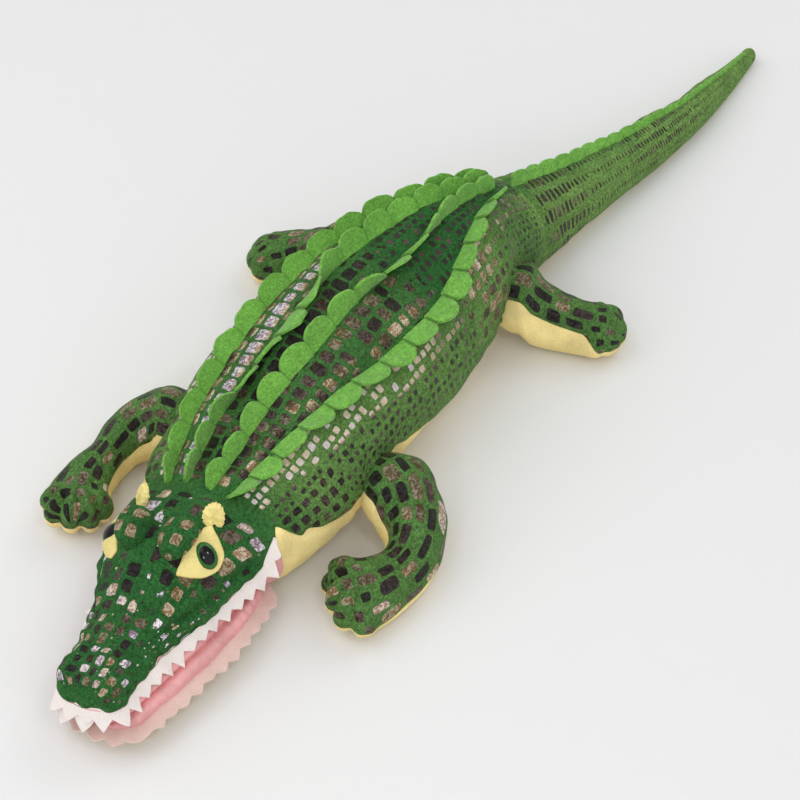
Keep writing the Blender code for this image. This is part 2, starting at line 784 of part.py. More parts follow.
def build():
    """Models every piece of the toy."""
    for piece in list(bpy.data.objects):
        bpy.data.objects.remove(piece)
    plush = make_material("green_plush", (0.030, 0.115, 0.045), 0.9)
    yellow = make_material("yellow_plush", (0.72, 0.55, 0.22), 0.9)
    cream = make_material("cream_plush", (0.80, 0.66, 0.30), 0.9)
    pink = make_material("pink_plush", (0.66, 0.22, 0.22), 0.9)
    felt = make_material("green_felt", (0.105, 0.300, 0.045), 0.95)
    white = make_material("white_felt", (0.80, 0.76, 0.72), 0.95)
    fibre = make_material("fibrefill", (0.85, 0.85, 0.83), 1.0)
    plastic = make_material("black_plastic", (0.010, 0.012, 0.010), 0.15)
    clear = make_material("white_plastic", (0.80, 0.80, 0.80), 0.4)

    body, head, jaw, tail_front, tail_rear, neck, rump, bend = members()
    make_body(body, neck, rump, plush, yellow, fibre)
    make_head(head, neck, plush, yellow, pink, fibre)
    make_jaw(jaw, yellow, pink, fibre)
    make_teeth(head, jaw, white)
    make_face(head, plush, cream, plastic, clear)
    make_tail(tail_front, tail_rear, rump, bend, plush, yellow, fibre)
    for name, (kind, place, side, heading, arcs) in LEGS.items():
        leg = leg_form(body, kind, place, side, heading, arcs)
        make_leg(name, leg, plush, yellow, fibre)
    make_frills(body, tail_front, tail_rear, felt)


def make_body(body, neck, rump, plush, yellow, fibre):
    """Back, belly and stuffing of the trunk, hollow for the neck, tail and legs."""
    inner = steps(neck.core_start(), BODY_LENGTH - rump.core_start(), BODY_STEPS)
    places = [neck.set_back] + inner + [BODY_LENGTH - rump.set_back]
    body.facets = places, steps(-BODY_SEAM_DEG, BODY_SEAM_DEG, BODY_SIDES[0])
    pieces = skin_pair("body_back", "belly_panel", body, places, 0, 0, BODY_SEAM_DEG, BODY_SIDES, (plush, yellow))
    rings = neck.hollow() + [body.ring(d, FABRIC + GAP) for d in inner] + rump.hollow()[::-1]
    filling = core("body_stuffing", rings, BODY_SEAM_DEG, BODY_SIDES, fibre)
    for name, (kind, place, side, heading, arcs) in LEGS.items():
        leg = leg_form(body, kind, place, side, heading, arcs)
        base = leg.ring(0)
        radius = base.half + ball_room(base.half)
        turns = [math.radians(a) for a in BALL_LATITUDES]
        profile = [(radius * math.cos(a), radius * math.sin(a)) for a in turns]
        ball = turned(name + "_socket_cutter", base.origin + base.up * base.mid, Vector((0, 0, 1)), profile, fibre)
        for piece in (*pieces, filling):
            cut_away(piece, ball)


def make_head(head, neck, plush, yellow, pink, fibre):
    """Skin, throat, palate and stuffing of the head."""
    end = head.path.length
    throat_end = jaw_room()
    throat = steps(0, throat_end, 1)
    snout = steps(throat_end, end, HEAD_STEPS)[1:]
    head.facets = throat + snout, steps(-90, 90, HEAD_SIDES[0])
    outer, inner = [], []
    for inset, rings in ((0, outer), (FABRIC, inner)):
        rings += [head.dome(0, neck.radius, a, inset, out=-1) for a in DOME_DEGS]
        rings += [head.ring(d, inset) for d in throat + snout]
        rings += [head.dome(end, SNOUT_ROUND, a, inset) for a in TIP_DEGS]
    shell_panel("head_skin", outer, inner, seam_angles(outer, 90, HEAD_SIDES[0]), plush)

    outer, inner = [], []
    for inset, rings in ((0, outer), (FABRIC, inner)):
        rings += [head.dome(0, neck.radius, a, inset, out=-1) for a in DOME_DEGS]
        rings += [head.ring(d, inset) for d in throat]
    cut_on_floor(shell_panel("throat_panel", outer, inner, seam_angles(outer, 90, HEAD_SIDES[1], True), yellow))

    side = FABRIC + 2 * FACET_ROOM
    rings = [head.ring(d, side) for d in [throat_end + GAP] + snout]
    rings += [head.dome(end, SNOUT_ROUND, a, side) for a in TIP_DEGS]
    flat_panel("palate_lining", rings, MOUTH_LINE - LINING, MOUTH_LINE, pink)

    side = FABRIC + GAP
    rings = [head.dome(0, neck.radius, a, side, out=-1) for a in DOME_DEGS]
    rings += [head.ring(d, side) for d in throat]
    upper = [head.ring(d, side) for d in [throat_end] + snout]
    upper += [head.dome(end, SNOUT_ROUND, a, side) for a in TIP_DEGS]
    for ring in upper:
        ring.floor = MOUTH_LINE + GAP
    core("head_stuffing", rings + upper, 90, HEAD_SIDES, fibre)


def jaw_room():
    """Where the throat ends, clear of the round back of the jaw."""
    return JAW_PLACE - (JAW_HEIGHT + FLOOR_FLAT) - 2 * GAP


def flat_panel(name, rings, low, high, material):
    """A level lining between two levels, as wide as its rings."""
    points, faces = [], []
    for ring in rings:
        for side, level in ((1, low), (1, high), (-1, high), (-1, low)):
            points.append(ring.origin + ring.left * ring.half * side + ring.up * level)
    for k in range(len(rings) - 1):
        a, b = 4 * k, 4 * k + 4
        for j in range(4):
            n = (j + 1) % 4
            faces.append([a + j, a + n, b + n, b + j])
    last = 4 * len(rings) - 4
    faces += [[0, 1, 2, 3], [last, last + 1, last + 2, last + 3]]
    return closed_mesh(name, points, faces, material)


def make_jaw(jaw, yellow, pink, fibre):
    """Skin, lining and stuffing of the lower jaw."""
    end = jaw.path.length
    reach = JAW_HEIGHT + FLOOR_FLAT

    def rings_at(inset):
        rings = [jaw.dome(0, reach, a, inset, out=-1) for a in JAW_BACK_DEGS]
        for ring in rings:
            ring.half = jaw.ring(0, inset).half
        rings += [jaw.ring(d, inset) for d in steps(0, end, JAW_STEPS)]
        return rings + [jaw.dome(end, JAW_ROUND, a, inset) for a in TIP_DEGS]

    outer, inner = rings_at(0), rings_at(FABRIC)
    angles = [steps(90, 270, JAW_SIDES) for ring in outer]
    cut_on_floor(shell_panel("jaw_skin", outer, inner, angles, yellow))
    flat_panel("jaw_lining", rings_at(2 * FABRIC + GAP), JAW_HEIGHT - LINING, JAW_HEIGHT, pink)
    rings = rings_at(2 * FABRIC + FACET_ROOM)
    for ring in rings:
        ring.ceiling = JAW_HEIGHT - LINING - GAP
        ring.floor = 0
    core("jaw_stuffing", rings, 90, (2, JAW_SIDES), fibre)


def make_teeth(head, jaw, white):
    """Zigzag strips on both jaws, and the long fangs at the snout."""
    line = edge_line(head, JAW_PLACE, head.path.length, SNOUT_ROUND, FABRIC / 2)
    whole = line_lengths(line)[-1]
    fangs = FANG_PITCH * FANG_COUNT
    first = (whole - fangs) / 2
    for name, low, high in (("left", 0, first - GAP), ("right", first + fangs + GAP, whole)):
        zigzag("upper_teeth_" + name, line, low, high, TOOTH_PITCH, TOOTH_BAND,
               TOOTH_LENGTH, TOOTH_FLARE_DEG, white)
    zigzag("fangs", line, first + GAP, first + fangs - GAP, FANG_PITCH, TOOTH_BAND,
           FANG_LENGTH, TOOTH_FLARE_DEG, white)
    line = edge_line(jaw, 0, jaw.path.length, JAW_ROUND, FABRIC / 2)
    whole = line_lengths(line)[-1]
    for name, low, high in (("left", 0, whole / 2 - GAP), ("right", whole / 2 + GAP, whole)):
        zigzag("lower_teeth_" + name, line, low, high, TOOTH_PITCH, LOWER_TOOTH_BAND,
               LOWER_TOOTH_LENGTH, LOWER_FLARE_DEG, white)


def make_face(head, plush, cream, plastic, clear):
    """Eyes with their washers, eye patches, stuffed brows and ears."""
    skin = bpy.data.objects["head_skin"]
    filling = bpy.data.objects["head_stuffing"]
    for side, name in ((1, "left"), (-1, "right")):
        angle = EYE_ANGLE_DEG * side + FACE_TURN_DEG
        base = patch("eye_patch_" + name, head, EYE_PLACE, angle, PATCH_LENGTH, PATCH_WIDTH,
                     LINING, 0, teardrop, cream)
        foot, axis = head.surface(EYE_PLACE, angle)
        seat = 2 * (GAP + FACET_ROOM) + LINING + FACET_ROOM
        profile = [(EYE_STEM_RADIUS, -EYE_STEM_LENGTH), (EYE_STEM_RADIUS, seat), (EYE_RADIUS, seat)]
        for degrees in EYE_DEGS:
            angle = math.radians(degrees)
            profile.append((EYE_RADIUS * math.cos(angle), seat + EYE_FLANGE + EYE_DOME * math.sin(angle)))
        turned("eye_" + name, foot, axis, profile, plastic)
        hole = EYE_STEM_RADIUS + GAP
        deep = -FABRIC - WASHER_SINK
        low = deep - WASHER_THICKNESS
        profile = [(hole, low), (WASHER_RADIUS, low), (WASHER_RADIUS, deep), (hole, deep), (hole, low)]
        turned("eye_washer_" + name, foot, axis, profile, clear)
        reach = EYE_RADIUS
        drill = turned("stem_cutter_" + name, foot, axis, [(hole, -reach), (hole, reach)], clear)
        cut_away(base, drill)
        cut_away(skin, drill)
        wide = WASHER_RADIUS + GAP
        bottom = low - GAP
        stem = -EYE_STEM_LENGTH - GAP
        profile = [(hole, stem), (hole, bottom), (wide, bottom), (wide, reach)]
        cut_away(filling, turned("washer_cutter_" + name, foot, axis, profile, clear))
        patch("brow_" + name, head, BROW_PLACE, BROW_ANGLE_DEG * side + FACE_TURN_DEG, BROW_LENGTH, BROW_WIDTH,
              LINING, BROW_HEIGHT, round_outline, plush)
        patch("ear_" + name, head, EAR_PLACE, EAR_ANGLE_DEG * side + FACE_TURN_DEG, EAR_LENGTH, EAR_WIDTH,
              LINING, EAR_HEIGHT, round_outline, cream)


def teardrop(turn):
    """A patch drawn out to a point towards the snout."""
    return 1 + TEARDROP_SHARE * max(math.cos(turn), 0) ** TEARDROP_POWER


def round_outline(turn):
    """A plain oval patch."""
    return 1


def make_tail(front, rear, rump, bend, plush, yellow, fibre):
    """Skins, panels and stuffing of both parts of the tail."""
    places = steps(0, TAIL_FRONT_LENGTH - bend.core_start(), TAIL_STEPS)
    angles = steps(-TAIL_SEAM_DEG, TAIL_SEAM_DEG, TAIL_SIDES[0])
    front.facets = places + [TAIL_FRONT_LENGTH - bend.set_back], angles
    skin_pair("tail_front_skin", "tail_front_panel", front, places + [TAIL_FRONT_LENGTH - bend.set_back],
              rump.radius, 0, TAIL_SEAM_DEG, TAIL_SIDES, (plush, yellow))
    inset = FABRIC + GAP
    rings = [front.dome(0, rump.radius, a, inset, out=-1) for a in DOME_DEGS]
    rings += [front.ring(d, inset) for d in places]
    core("tail_front_stuffing", rings + bend.hollow()[::-1], TAIL_SEAM_DEG, TAIL_SIDES, fibre)

    end = rear.path.length
    places = steps(0, end, TAIL_STEPS)
    rear.facets = places, angles
    skin_pair("tail_rear_skin", "tail_rear_panel", rear, places, bend.radius, TAIL_TIP_ROUND,
              TAIL_SEAM_DEG, TAIL_SIDES, (plush, yellow))
    rings = [rear.dome(0, bend.radius, a, inset, out=-1) for a in DOME_DEGS]
    rings += [rear.ring(d, inset) for d in places]
    core("tail_rear_stuffing", rings, TAIL_SEAM_DEG, TAIL_SIDES, fibre)


def make_leg(name, leg, plush, yellow, fibre):
    """Skin, sole and stuffing of one leg."""
    base = leg.ring(0)
    places = steps(0, leg.path.length, LEG_STEPS)
    skin_pair(name + "_leg_skin", name + "_sole", leg, places, base.half, PAW_ROUND,
              LEG_SEAM_DEG, LEG_SIDES, (plush, yellow))
    inset = FABRIC + GAP
    rings = [leg.dome(0, base.half, a, inset, out=-1) for a in DOME_DEGS]
    rings += [leg.ring(d, inset) for d in places]
    core(name + "_leg_stuffing", rings, LEG_SEAM_DEG, LEG_SIDES, fibre)


def make_frills(body, tail_front, tail_rear, felt):
    """Four scalloped frills along the back and one crest along the tail."""
    first, last = FRILL_START_INSET, BODY_LENGTH - FRILL_END_INSET
    for name, (column, lean) in FRILLS.items():
        def angle_at(distance):
            return read_rows(FRILL_ROW_SHARES, distance / BODY_LENGTH)[column]
        frill(name, body, first, last, angle_at, lean, FRILL_PITCH, FRILL_NOTCH, FRILL_HEIGHT, felt)

    def on_top(distance):
        return 0

    last = TAIL_FRONT_LENGTH - FRILL_END_INSET
    frill("crest_front", tail_front, FRILL_END_INSET, last, on_top, 0, CREST_PITCH, CREST_NOTCH, CREST_HEIGHT, felt)
    last = tail_rear.path.length - FRILL_END_INSET
    frill("crest_rear", tail_rear, FRILL_END_INSET, last, on_top, 0, CREST_PITCH, CREST_NOTCH, CREST_HEIGHT, felt)


if __name__ == "__main__":
    build()
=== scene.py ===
"""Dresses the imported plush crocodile: printed plush, felt frills, felt teeth and a face.

Metres, +X towards the snout, +Y the crocodile's left, +Z up. Distances along
the animal run from the neck, growing towards the tail and negative towards
the snout. Angles round it run from the top, positive to the left.
"""
import json
import math

import bpy
import numpy as np
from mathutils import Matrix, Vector


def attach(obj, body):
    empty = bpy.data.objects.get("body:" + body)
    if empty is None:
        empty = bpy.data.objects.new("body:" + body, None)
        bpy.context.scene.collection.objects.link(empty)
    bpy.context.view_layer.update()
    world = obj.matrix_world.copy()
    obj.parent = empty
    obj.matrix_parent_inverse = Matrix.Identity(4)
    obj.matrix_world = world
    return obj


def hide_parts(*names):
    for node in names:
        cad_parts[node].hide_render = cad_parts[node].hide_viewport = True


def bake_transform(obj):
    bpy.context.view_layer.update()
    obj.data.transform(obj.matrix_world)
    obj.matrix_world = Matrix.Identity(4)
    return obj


bl_info = {
    "name": "Plush crocodile",
    "version": (1, 0, 0),
    "blender": (4, 5, 0),
    "location": "View3D > Sidebar > Crocodile",
    "description": "Cloth, felt and plastic finish for a stuffed crocodile",
    "category": "Object",
}

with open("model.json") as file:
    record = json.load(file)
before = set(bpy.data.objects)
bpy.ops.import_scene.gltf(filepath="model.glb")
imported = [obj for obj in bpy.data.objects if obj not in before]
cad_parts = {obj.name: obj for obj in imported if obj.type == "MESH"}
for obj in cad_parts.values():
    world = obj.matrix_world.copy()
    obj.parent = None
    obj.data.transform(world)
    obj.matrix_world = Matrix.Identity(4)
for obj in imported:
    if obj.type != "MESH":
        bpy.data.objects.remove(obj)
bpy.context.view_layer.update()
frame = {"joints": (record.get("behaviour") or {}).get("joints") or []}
PIVOTS = {joint["name"]: Vector(joint["pos_m"]) for joint in frame["joints"]}
NECK = PIVOTS["neck_turn"]
RUMP = PIVOTS["tail_root_bend"]

# Lengths of the members, from pivot to pivot
HEAD_LENGTH = 0.177
SNOUT_ROUND = 0.020
BODY_LENGTH = 0.415
TAIL_FRONT = 0.175
TAIL_REAR = 0.210
TAIL_ROUND = 0.010
HEAD_HEADING_DEG = 187.0
BODY_HEADING_DEG = 187.7
BODY_TURN_DEG = -18.2
TAIL_HEADING_DEG = 168.3
TAIL_TURN_DEG = 12.5
HEAD_ROLL_DEG = 7.0
ROLL_LENGTH = 0.060
MOUTH_LINE = 0.046
WAIST_SHARE = 0.40
JAW_PLACE = 0.026

# Sizes that the shares below are taken of
BODY_WIDTH, BODY_HEIGHT = 0.200, 0.136
HEAD_WIDTH, HEAD_HEIGHT = 0.122, 0.098
TAIL_WIDTH, TAIL_HEIGHT = 0.100, 0.086
JAW_WIDTH, JAW_HEIGHT = 0.121, 0.017
FRONT_LEG_WIDTH, FRONT_LEG_HEIGHT = 0.058, 0.052
HIND_LEG_WIDTH, HIND_LEG_HEIGHT = 0.060, 0.054
PAW_ROUND = 0.026
JAW_TOP = 0.0430

# Heights over the floor: lowest cloth, where cloth starts to settle, low edge of a section, least height kept
REST = 0.0004
REST_EDGE = 0.004
LOW_EDGE = -0.0005
FLOOR_GAP = 0.0003

# Places along the trunk: where two covers meet, where the print of the head ends and that of the tail starts,
# where the lining of the mouth ends, and what the frills and the crest span
COVERS_MEET = 0.20
TAILS_MEET = BODY_LENGTH + 0.085
HEAD_EDGE = -0.006
TAIL_EDGE = 0.430
LINING_EDGE = -0.010
FRILL_FIRST, FRILL_LAST = -0.004, 0.398
CREST_FIRST, CREST_LAST = 0.424, 0.791

# Rows: place along the member, half width, high edge
BODY_ROW_SHARES = [
    (0, 0.355, 0.71), (0.08, 0.41, 0.75), (0.19, 0.45, 0.83), (0.32, 0.46, 0.925), (0.45, 0.465, 0.985),
    (0.6, 0.455, 1), (0.74, 0.402, 0.985), (0.86, 0.33, 0.945), (0.95, 0.265, 0.84), (1, 0.245, 0.77),
]
HEAD_ROW_SHARES = [
    (0, 0.56, 0.96), (0.16, 0.528, 1), (0.34, 0.456, 1), (0.48, 0.394, 0.9), (0.61, 0.345, 0.79), (0.74, 0.292, 0.72),
    (0.87, 0.26, 0.7), (1, 0.232, 0.69),
]
TAIL_ROW_SHARES = [
    (0, 0.455, 1.12), (0.18, 0.35, 0.86), (0.33, 0.285, 0.68), (0.48, 0.245, 0.56), (0.7, 0.18, 0.41),
    (0.88, 0.115, 0.28), (1, 0.07, 0.19),
]
JAW_ROW_SHARES = [(0, 0.45), (0.2, 0.465), (0.4, 0.44), (0.6, 0.385), (0.8, 0.325), (1, 0.26)]
FRONT_LEG_ROW_SHARES = [
    (0, 0.55, 1.38), (0.25, 0.47, 1.18), (0.45, 0.4, 1), (0.65, 0.395, 0.88), (0.82, 0.48, 0.84), (1, 0.61, 0.84),
]
HIND_LEG_ROW_SHARES = [(0, 0.54, 1.4), (0.35, 0.45, 1.08), (0.7, 0.41, 0.88), (1, 0.415, 0.78)]

# How far the upper jaw lies to the right of the lower one
HEAD_SHIFT_ROWS = [(0, 0.004), (0.16, 0.0095), (0.3, 0.0115), (0.6, 0.0113), (1, 0.0115)]

# Where the green cloth meets the yellow, in degrees from the top, left and right
SEAM_ROWS = [
    (-0.2, 90, 90), (-0.052, 90, 90), (-0.03, 83, 85), (-0.0155, 68, 76), (-0.006, 60, 71), (0.001, 52, 66),
    (0.006, 62, 72), (0.012, 70, 76), (0.019, 69, 79), (0.032, 76, 84), (0.06, 84, 92), (0.15, 88, 104),
    (0.2, 108, 112), (0.33, 112, 116), (0.43, 126, 126), (0.52, 134, 134), (0.8, 138, 138),
]

# The fold in each cheek, in degrees from the top
CHEEK_FOLD = [(-0.13, 52), (-0.107, 60), (-0.082, 70), (-0.059, 72.5), (-0.04, 71), (-0.017, 67)]

# Frills: angle from the top along the trunk, and lean from upright, both positive to the left
FRILLS = {
    "frill_inner_left": (
        [(-0.004, -1), (0.04, 1), (0.085, 3), (0.128, 6), (0.2, 7), (0.28, 8), (0.33, 6), (0.395, 4)],
        [(-0.004, -24), (0.18, -20), (0.212, 8), (0.235, 27), (0.28, 27), (0.312, 0), (0.395, -18)]),
    "frill_outer_left": (
        [
            (-0.004, 12), (0.04, 16), (0.08, 22), (0.12, 28), (0.165, 36), (0.21, 39), (0.262, 38), (0.294, 33),
            (0.345, 22), (0.395, 12),
        ],
        [(-0.004, 46), (0.05, 66), (0.16, 76), (0.3, 74), (0.36, 50), (0.395, 30)]),
    "frill_inner_right": (
        [(-0.004, -20), (0.08, -19), (0.2, -17), (0.3, -12), (0.35, -8), (0.395, -4)],
        [(-0.004, -20), (0.062, -14), (0.086, 18), (0.104, 28), (0.18, 28), (0.205, 0), (0.235, -30), (0.395, -25)]),
    "frill_outer_right": (
        [(-0.004, -36), (0.08, -37), (0.2, -38), (0.3, -33), (0.35, -23), (0.395, -13)],
        [(-0.004, -40), (0.1, -54), (0.3, -50), (0.395, -34)]),
}
CREST_ANGLES = [(0.4, 3), (0.5, 0), (0.8, 0)]
CREST_LEANS = [(0.4, -22), (0.5, -30), (0.62, -34), (0.8, -20)]
SCALLOP_SHARES = [0.012, 0.03, 0.07, 0.13, 0.2, 0.28, 0.36, 0.44, 0.52, 0.6, 0.68, 0.76, 0.84, 0.9, 0.945,
                  0.972, 0.988]

# Where the green cloth of a leg ends on its right and on its left, in degrees from the top
SOLE_DEGS = {"front_left": (70, 99), "front_right": (88, 74), "hind_left": (54, 100), "hind_right": (92, 72)}

# Legs: kind, heading, arcs of length and turn, root radius, root height and share of the plain width
LEGS = {
    "front_left": ("front", 70.3, [(0.009, 0.0), (0.065, -81.4), (0.038, -29.0)], 0.031, 0.044, 1.0),
    "front_right": ("front", -82.8, [(0.0507, 82.9), (0.038, 0.0), (0.026, 29.6)], 0.028, 0.044, 0.80),
    "hind_left": ("hind", 108.3, [(0.032, 0.0), (0.033, 6.6)], 0.031, 0.045, 1.0),
    "hind_right": ("hind", -97.8, [(0.009, 0.0), (0.0426, 54.0)], 0.030, 0.045, 1.0),
}

# Rows, width and height of each kind of leg, and how deep the grooves between its toes are
LEG_KINDS = {
    "front": (FRONT_LEG_ROW_SHARES, FRONT_LEG_WIDTH, FRONT_LEG_HEIGHT, 0.0050),
    "hind": (HIND_LEG_ROW_SHARES, HIND_LEG_WIDTH, HIND_LEG_HEIGHT, 0.0018),
}
TOE_DEGS = (-52.0, -18.0, 16.0, 50.0)

# Degrees round the trunk to a row of scales on the body, the head and the tail, and how far scales are stretched
LARGE_STEPS = ((9.6,), (17.0,), (23.0, 0.40))
SMALL_STEPS = ((6.2,), (9.0,), (6.2,))
LEG_SCALE_LENGTH, LEG_SCALE_WIDTH = 0.0180, 0.0124

# Left features of the face; the right ones are their mirror image
MIRROR_DEG = -13.0
PATCH_LINE = [
    (-0.082, 30), (-0.0725, 27.5), (-0.062, 24), (-0.0515, 22.5), (-0.047, 25), (-0.041, 23.5), (-0.0365, 25.5),
    (-0.0385, 30), (-0.0405, 36), (-0.045, 44.5), (-0.0525, 53), (-0.0605, 56), (-0.0695, 53), (-0.077, 44),
    (-0.0805, 36),
]
EAR_MIDDLE = (-0.0325, 25.0)
LID_MIDDLE = (-0.0597, 15.0)
LID_HALF_LENGTH = 0.0170
LID_HALF_DEG = 13.5
LID_HEIGHT = 0.0132
EYE_MIDDLE = (-0.0590, 41.0)
EDGE_SUNK = 0.0012
EAR_HALF_WIDTH, EAR_HALF_HEIGHT = 0.0088, 0.0122
EAR_LIFT = 0.0058

# Step between points along the strips of teeth
STRIP_STEP = 0.0006

# Names of the vectors that carry the print, and shades of its foil from dark to light
PRINTS = ("print_large", "print_small", "print_shade")
FOIL_STOPS = [(0.0, "#140A0D"), (0.14, "#2C1A1A"), (0.25, "#4C372C"), (0.37, "#6B6238"), (0.50, "#A08850"),
              (0.64, "#DCC394"), (0.78, "#CDBFC6"), (0.90, "#B3AAC4"), (1.0, "#DAD6E8")]
WHITE = (1.0, 1.0, 1.0)

# Floor, light of the world, and lamps: name, watts, size and place
FLOOR_SIZE = 30
WORLD_COLOUR = (0.815, 0.815, 0.815, 1)
WORLD_STRENGTH = 0.75
LAMPS = [
    ("key_lamp", 26.0, 2.6, (0.9, -1.2, 2.2)),
    ("fill_lamp", 11.0, 2.8, (1.4, 1.6, 1.6)),
    ("rim_lamp", 8.0, 1.4, (-1.6, 0.4, 1.8)),
    ("spark_lamp", 1.2, 0.14, (1.174, 0.324, 0.971)),
    ("glint_lamp", 0.9, 0.13, (0.427, 0.614, 1.247)),
]

# Camera, as fitted to the photograph
CAMERA_TURN_DEG = 34.0
CAMERA_LIFT_DEG = 47.1
CAMERA_TARGET = (0, -0.009, 0.06)
CAMERA_DISTANCE = 2.01
FOCAL_PIXELS = 2399.0
PICTURE_PIXELS = 800
SHIFT_PIXELS = (62.9, -42.9)
SENSOR_MM = 36


def srgb(text):
    """A hex colour as linear red, green and blue."""
    parts = [int(text[k:k + 2], 16) / 255 for k in (1, 3, 5)]
    return tuple(p / 12.92 if p <= 0.04045 else ((p + 0.055) / 1.055) ** 2.4 for p in parts)


def colour_setting(name, text, about):
    """A colour that a user may change, given in hex."""
    return bpy.props.FloatVectorProperty(name=name, description=about, subtype="COLOR", size=3,
                                         min=0, max=1, default=srgb(text))


def length_setting(name, metres, about):
    """A length that a user may change."""
    return bpy.props.FloatProperty(name=name, description=about, subtype="DISTANCE", unit="LENGTH", default=metres)


class CrocodileColours(bpy.types.PropertyGroup):
    """Colours of the cloths, the felts, the foil and the eyes."""
    head: colour_setting("Head plush", "#2B632F", "Green plush where it is darkest, on the head")
    tail: colour_setting("Tail plush", "#72954E", "Green plush where it is palest, on the tail")
    belly: colour_setting("Belly plush", "#F6E09A", "Yellow plush of the belly and the soles")
    cream: colour_setting("Cream plush", "#F0DF93", "Cream plush of the ears and the eye patches")
    lining: colour_setting("Mouth lining", "#EFB0AF", "Pink velour inside the mouth")
    frill: colour_setting("Frill felt", "#74B249", "Bright green felt of the frills")
    strip: colour_setting("Lower strip", "#E3C6BC", "Pale pink felt of the lower strip")
    teeth: colour_setting("Tooth felt", "#F0E6E1", "White felt of the teeth")
    iris: colour_setting("Iris", "#2E6B2A", "Dark green ring of the eyes")


class CrocodileSizes(bpy.types.PropertyGroup):
    """Sizes of the trim."""
    frill_pitch: length_setting("Frill pitch", 0.0305, "Length of one scallop of the back frills")
    frill_height: length_setting("Frill height", 0.0215, "Height of the back frills at the top of a scallop")
    felt: length_setting("Felt", 0.0026, "Thickness of the frill felt")
    tooth_pitch: length_setting("Tooth pitch", 0.0130, "Distance between two teeth")
    tooth_length: length_setting("Upper tooth", 0.0170, "Length of an upper tooth from the seam")
    fang_length: length_setting("Fang", 0.0240, "Length of the front teeth")
    lower_strip: length_setting("Lower strip", 0.0165, "Width of the lower felt strip over its teeth")
    eye_radius: length_setting("Eye radius", 0.0112, "Radius of a plastic eye")


# Forms
def curve(rows, places):
    """Columns of a table at many places, on a smooth curve through its rows."""
    table = np.array(rows, float)
    x = table[:, 0]
    slopes = np.gradient(table[:, 1:], x, axis=0)
    places = np.clip(np.asarray(places, float), x[0], x[-1])
    k = np.clip(np.searchsorted(x, places, side="right") - 1, 0, len(x) - 2)
    span = x[k + 1] - x[k]
    t = ((places - x[k]) / span)[..., None]
    a, b = table[k, 1:], table[k + 1, 1:]
    m, n = slopes[k] * span[..., None], slopes[k + 1] * span[..., None]
    return a + m * t + (3 * (b - a) - 2 * m - n) * t ** 2 + (2 * (a - b) + m + n) * t ** 3


def ease(t):
    """A smooth rise from 0 to 1."""
    t = np.clip(t, 0, 1)
    return t * t * (3 - 2 * t)


def hump(x, middle, reach):
    """A round bump of height 1 that fades within a reach."""
    return np.exp(-((np.asarray(x) - middle) / reach) ** 2)


def wrapped(degrees):
    """Angles from the top, within half a turn of it."""
    return (degrees + 180) % 360 - 180


def quarter(count):
    """Shares from 0 to 1 that lie closer together towards 1."""
    return np.sin(np.linspace(0, math.pi / 2, count))


def summed(steps):
    """Running sums of steps, from 0."""
    return np.concatenate([[0], np.cumsum(steps)])


def unit(vectors):
    """Vectors of length one."""
    return vectors / np.maximum(np.linalg.norm(vectors, axis=-1, keepdims=True), 1e-12)


def ripple(points, size, seed):
    """Smooth waves without a pattern, about -1 to 1, of a given size in metres."""
    source = np.random.default_rng(seed)
    total = np.zeros(points.shape[:-1])
    waves = 9
    for k in range(waves):
        way = source.normal(size=3)
        way /= np.linalg.norm(way)
        length = size * source.uniform(0.7, 1.5)
        total += np.sin(points @ way * 2 * math.pi / length + source.uniform(0, 2 * math.pi))
    return total / math.sqrt(waves) / 1.2


def walk(start, heading, arcs, distances):
    """Points and headings along arcs that start at a point, straight on past the end."""
    distances = np.asarray(distances, float)
    point = np.zeros(distances.shape + (2,)) + np.array(start[:2])
    angle = np.full(distances.shape, math.radians(heading))
    left = distances.copy()
    for length, turn in arcs + [(None, 0.0)]:
        step = left if length is None else np.clip(left, 0, length)
        bend = np.zeros_like(step) if length is None else math.radians(turn) * step / length
        chord = step * np.sinc(bend / 2 / math.pi)
        point = point + np.stack([np.cos(angle + bend / 2), np.sin(angle + bend / 2)], -1) * chord[..., None]
        angle = angle + bend
        left = left - step
    return point, angle


def outwards(vectors, points, middle):
    """Unit vectors, turned away from a middle."""
    vectors = unit(vectors)
    sign = np.sign(np.sum(vectors * (points - middle), axis=-1, keepdims=True))
    return vectors * np.where(sign == 0, 1, sign)


def smooth_over(values, count):
    """A running mean along the first axis, the ends held."""
    pad = np.concatenate([np.repeat(values[:1], count, 0), values, np.repeat(values[-1:], count, 0)])
    kernel = np.hanning(2 * count + 3)[1:-1]
    kernel /= kernel.sum()
    flat = pad.reshape(len(pad), -1)
    out = np.stack([np.convolve(flat[:, k], kernel, mode="valid") for k in range(flat.shape[1])], -1)
    return out.reshape(values.shape)


def dome(share, power=2.0):
    """How much of a section is left at a share of a rounded end."""
    return np.maximum(1 - np.clip(share, 0, 1) ** power, 0) ** (1 / power)


def shrunk(half, low, mid, high, share):
    """Half width, low, mid and high edge, drawn in towards the middle at a rounded end."""
    return half * share, mid + (low - mid) * share, mid, mid + (high - mid) * share


def rows_of(member, place, degrees, step, stretch=1.0):
    """Print coordinates, one unit to a scale, in rows a step of degrees wide."""
    inner, outer = member.first + member.round_low, member.last - member.round_high
    table = np.linspace(inner, outer, 400)
    half, low, mid, high = member.section(table)[3:]
    radius = np.maximum((half + (high - low) / 2) / 2, 0.006)
    wide = math.radians(step) * stretch
    held = np.clip(place, inner, outer)
    edge = np.where(place < inner, radius[0], radius[-1]) * wide
    return np.interp(held, table, summed(np.diff(table) / (radius[1:] * wide))) + (place - held) / edge, degrees / step


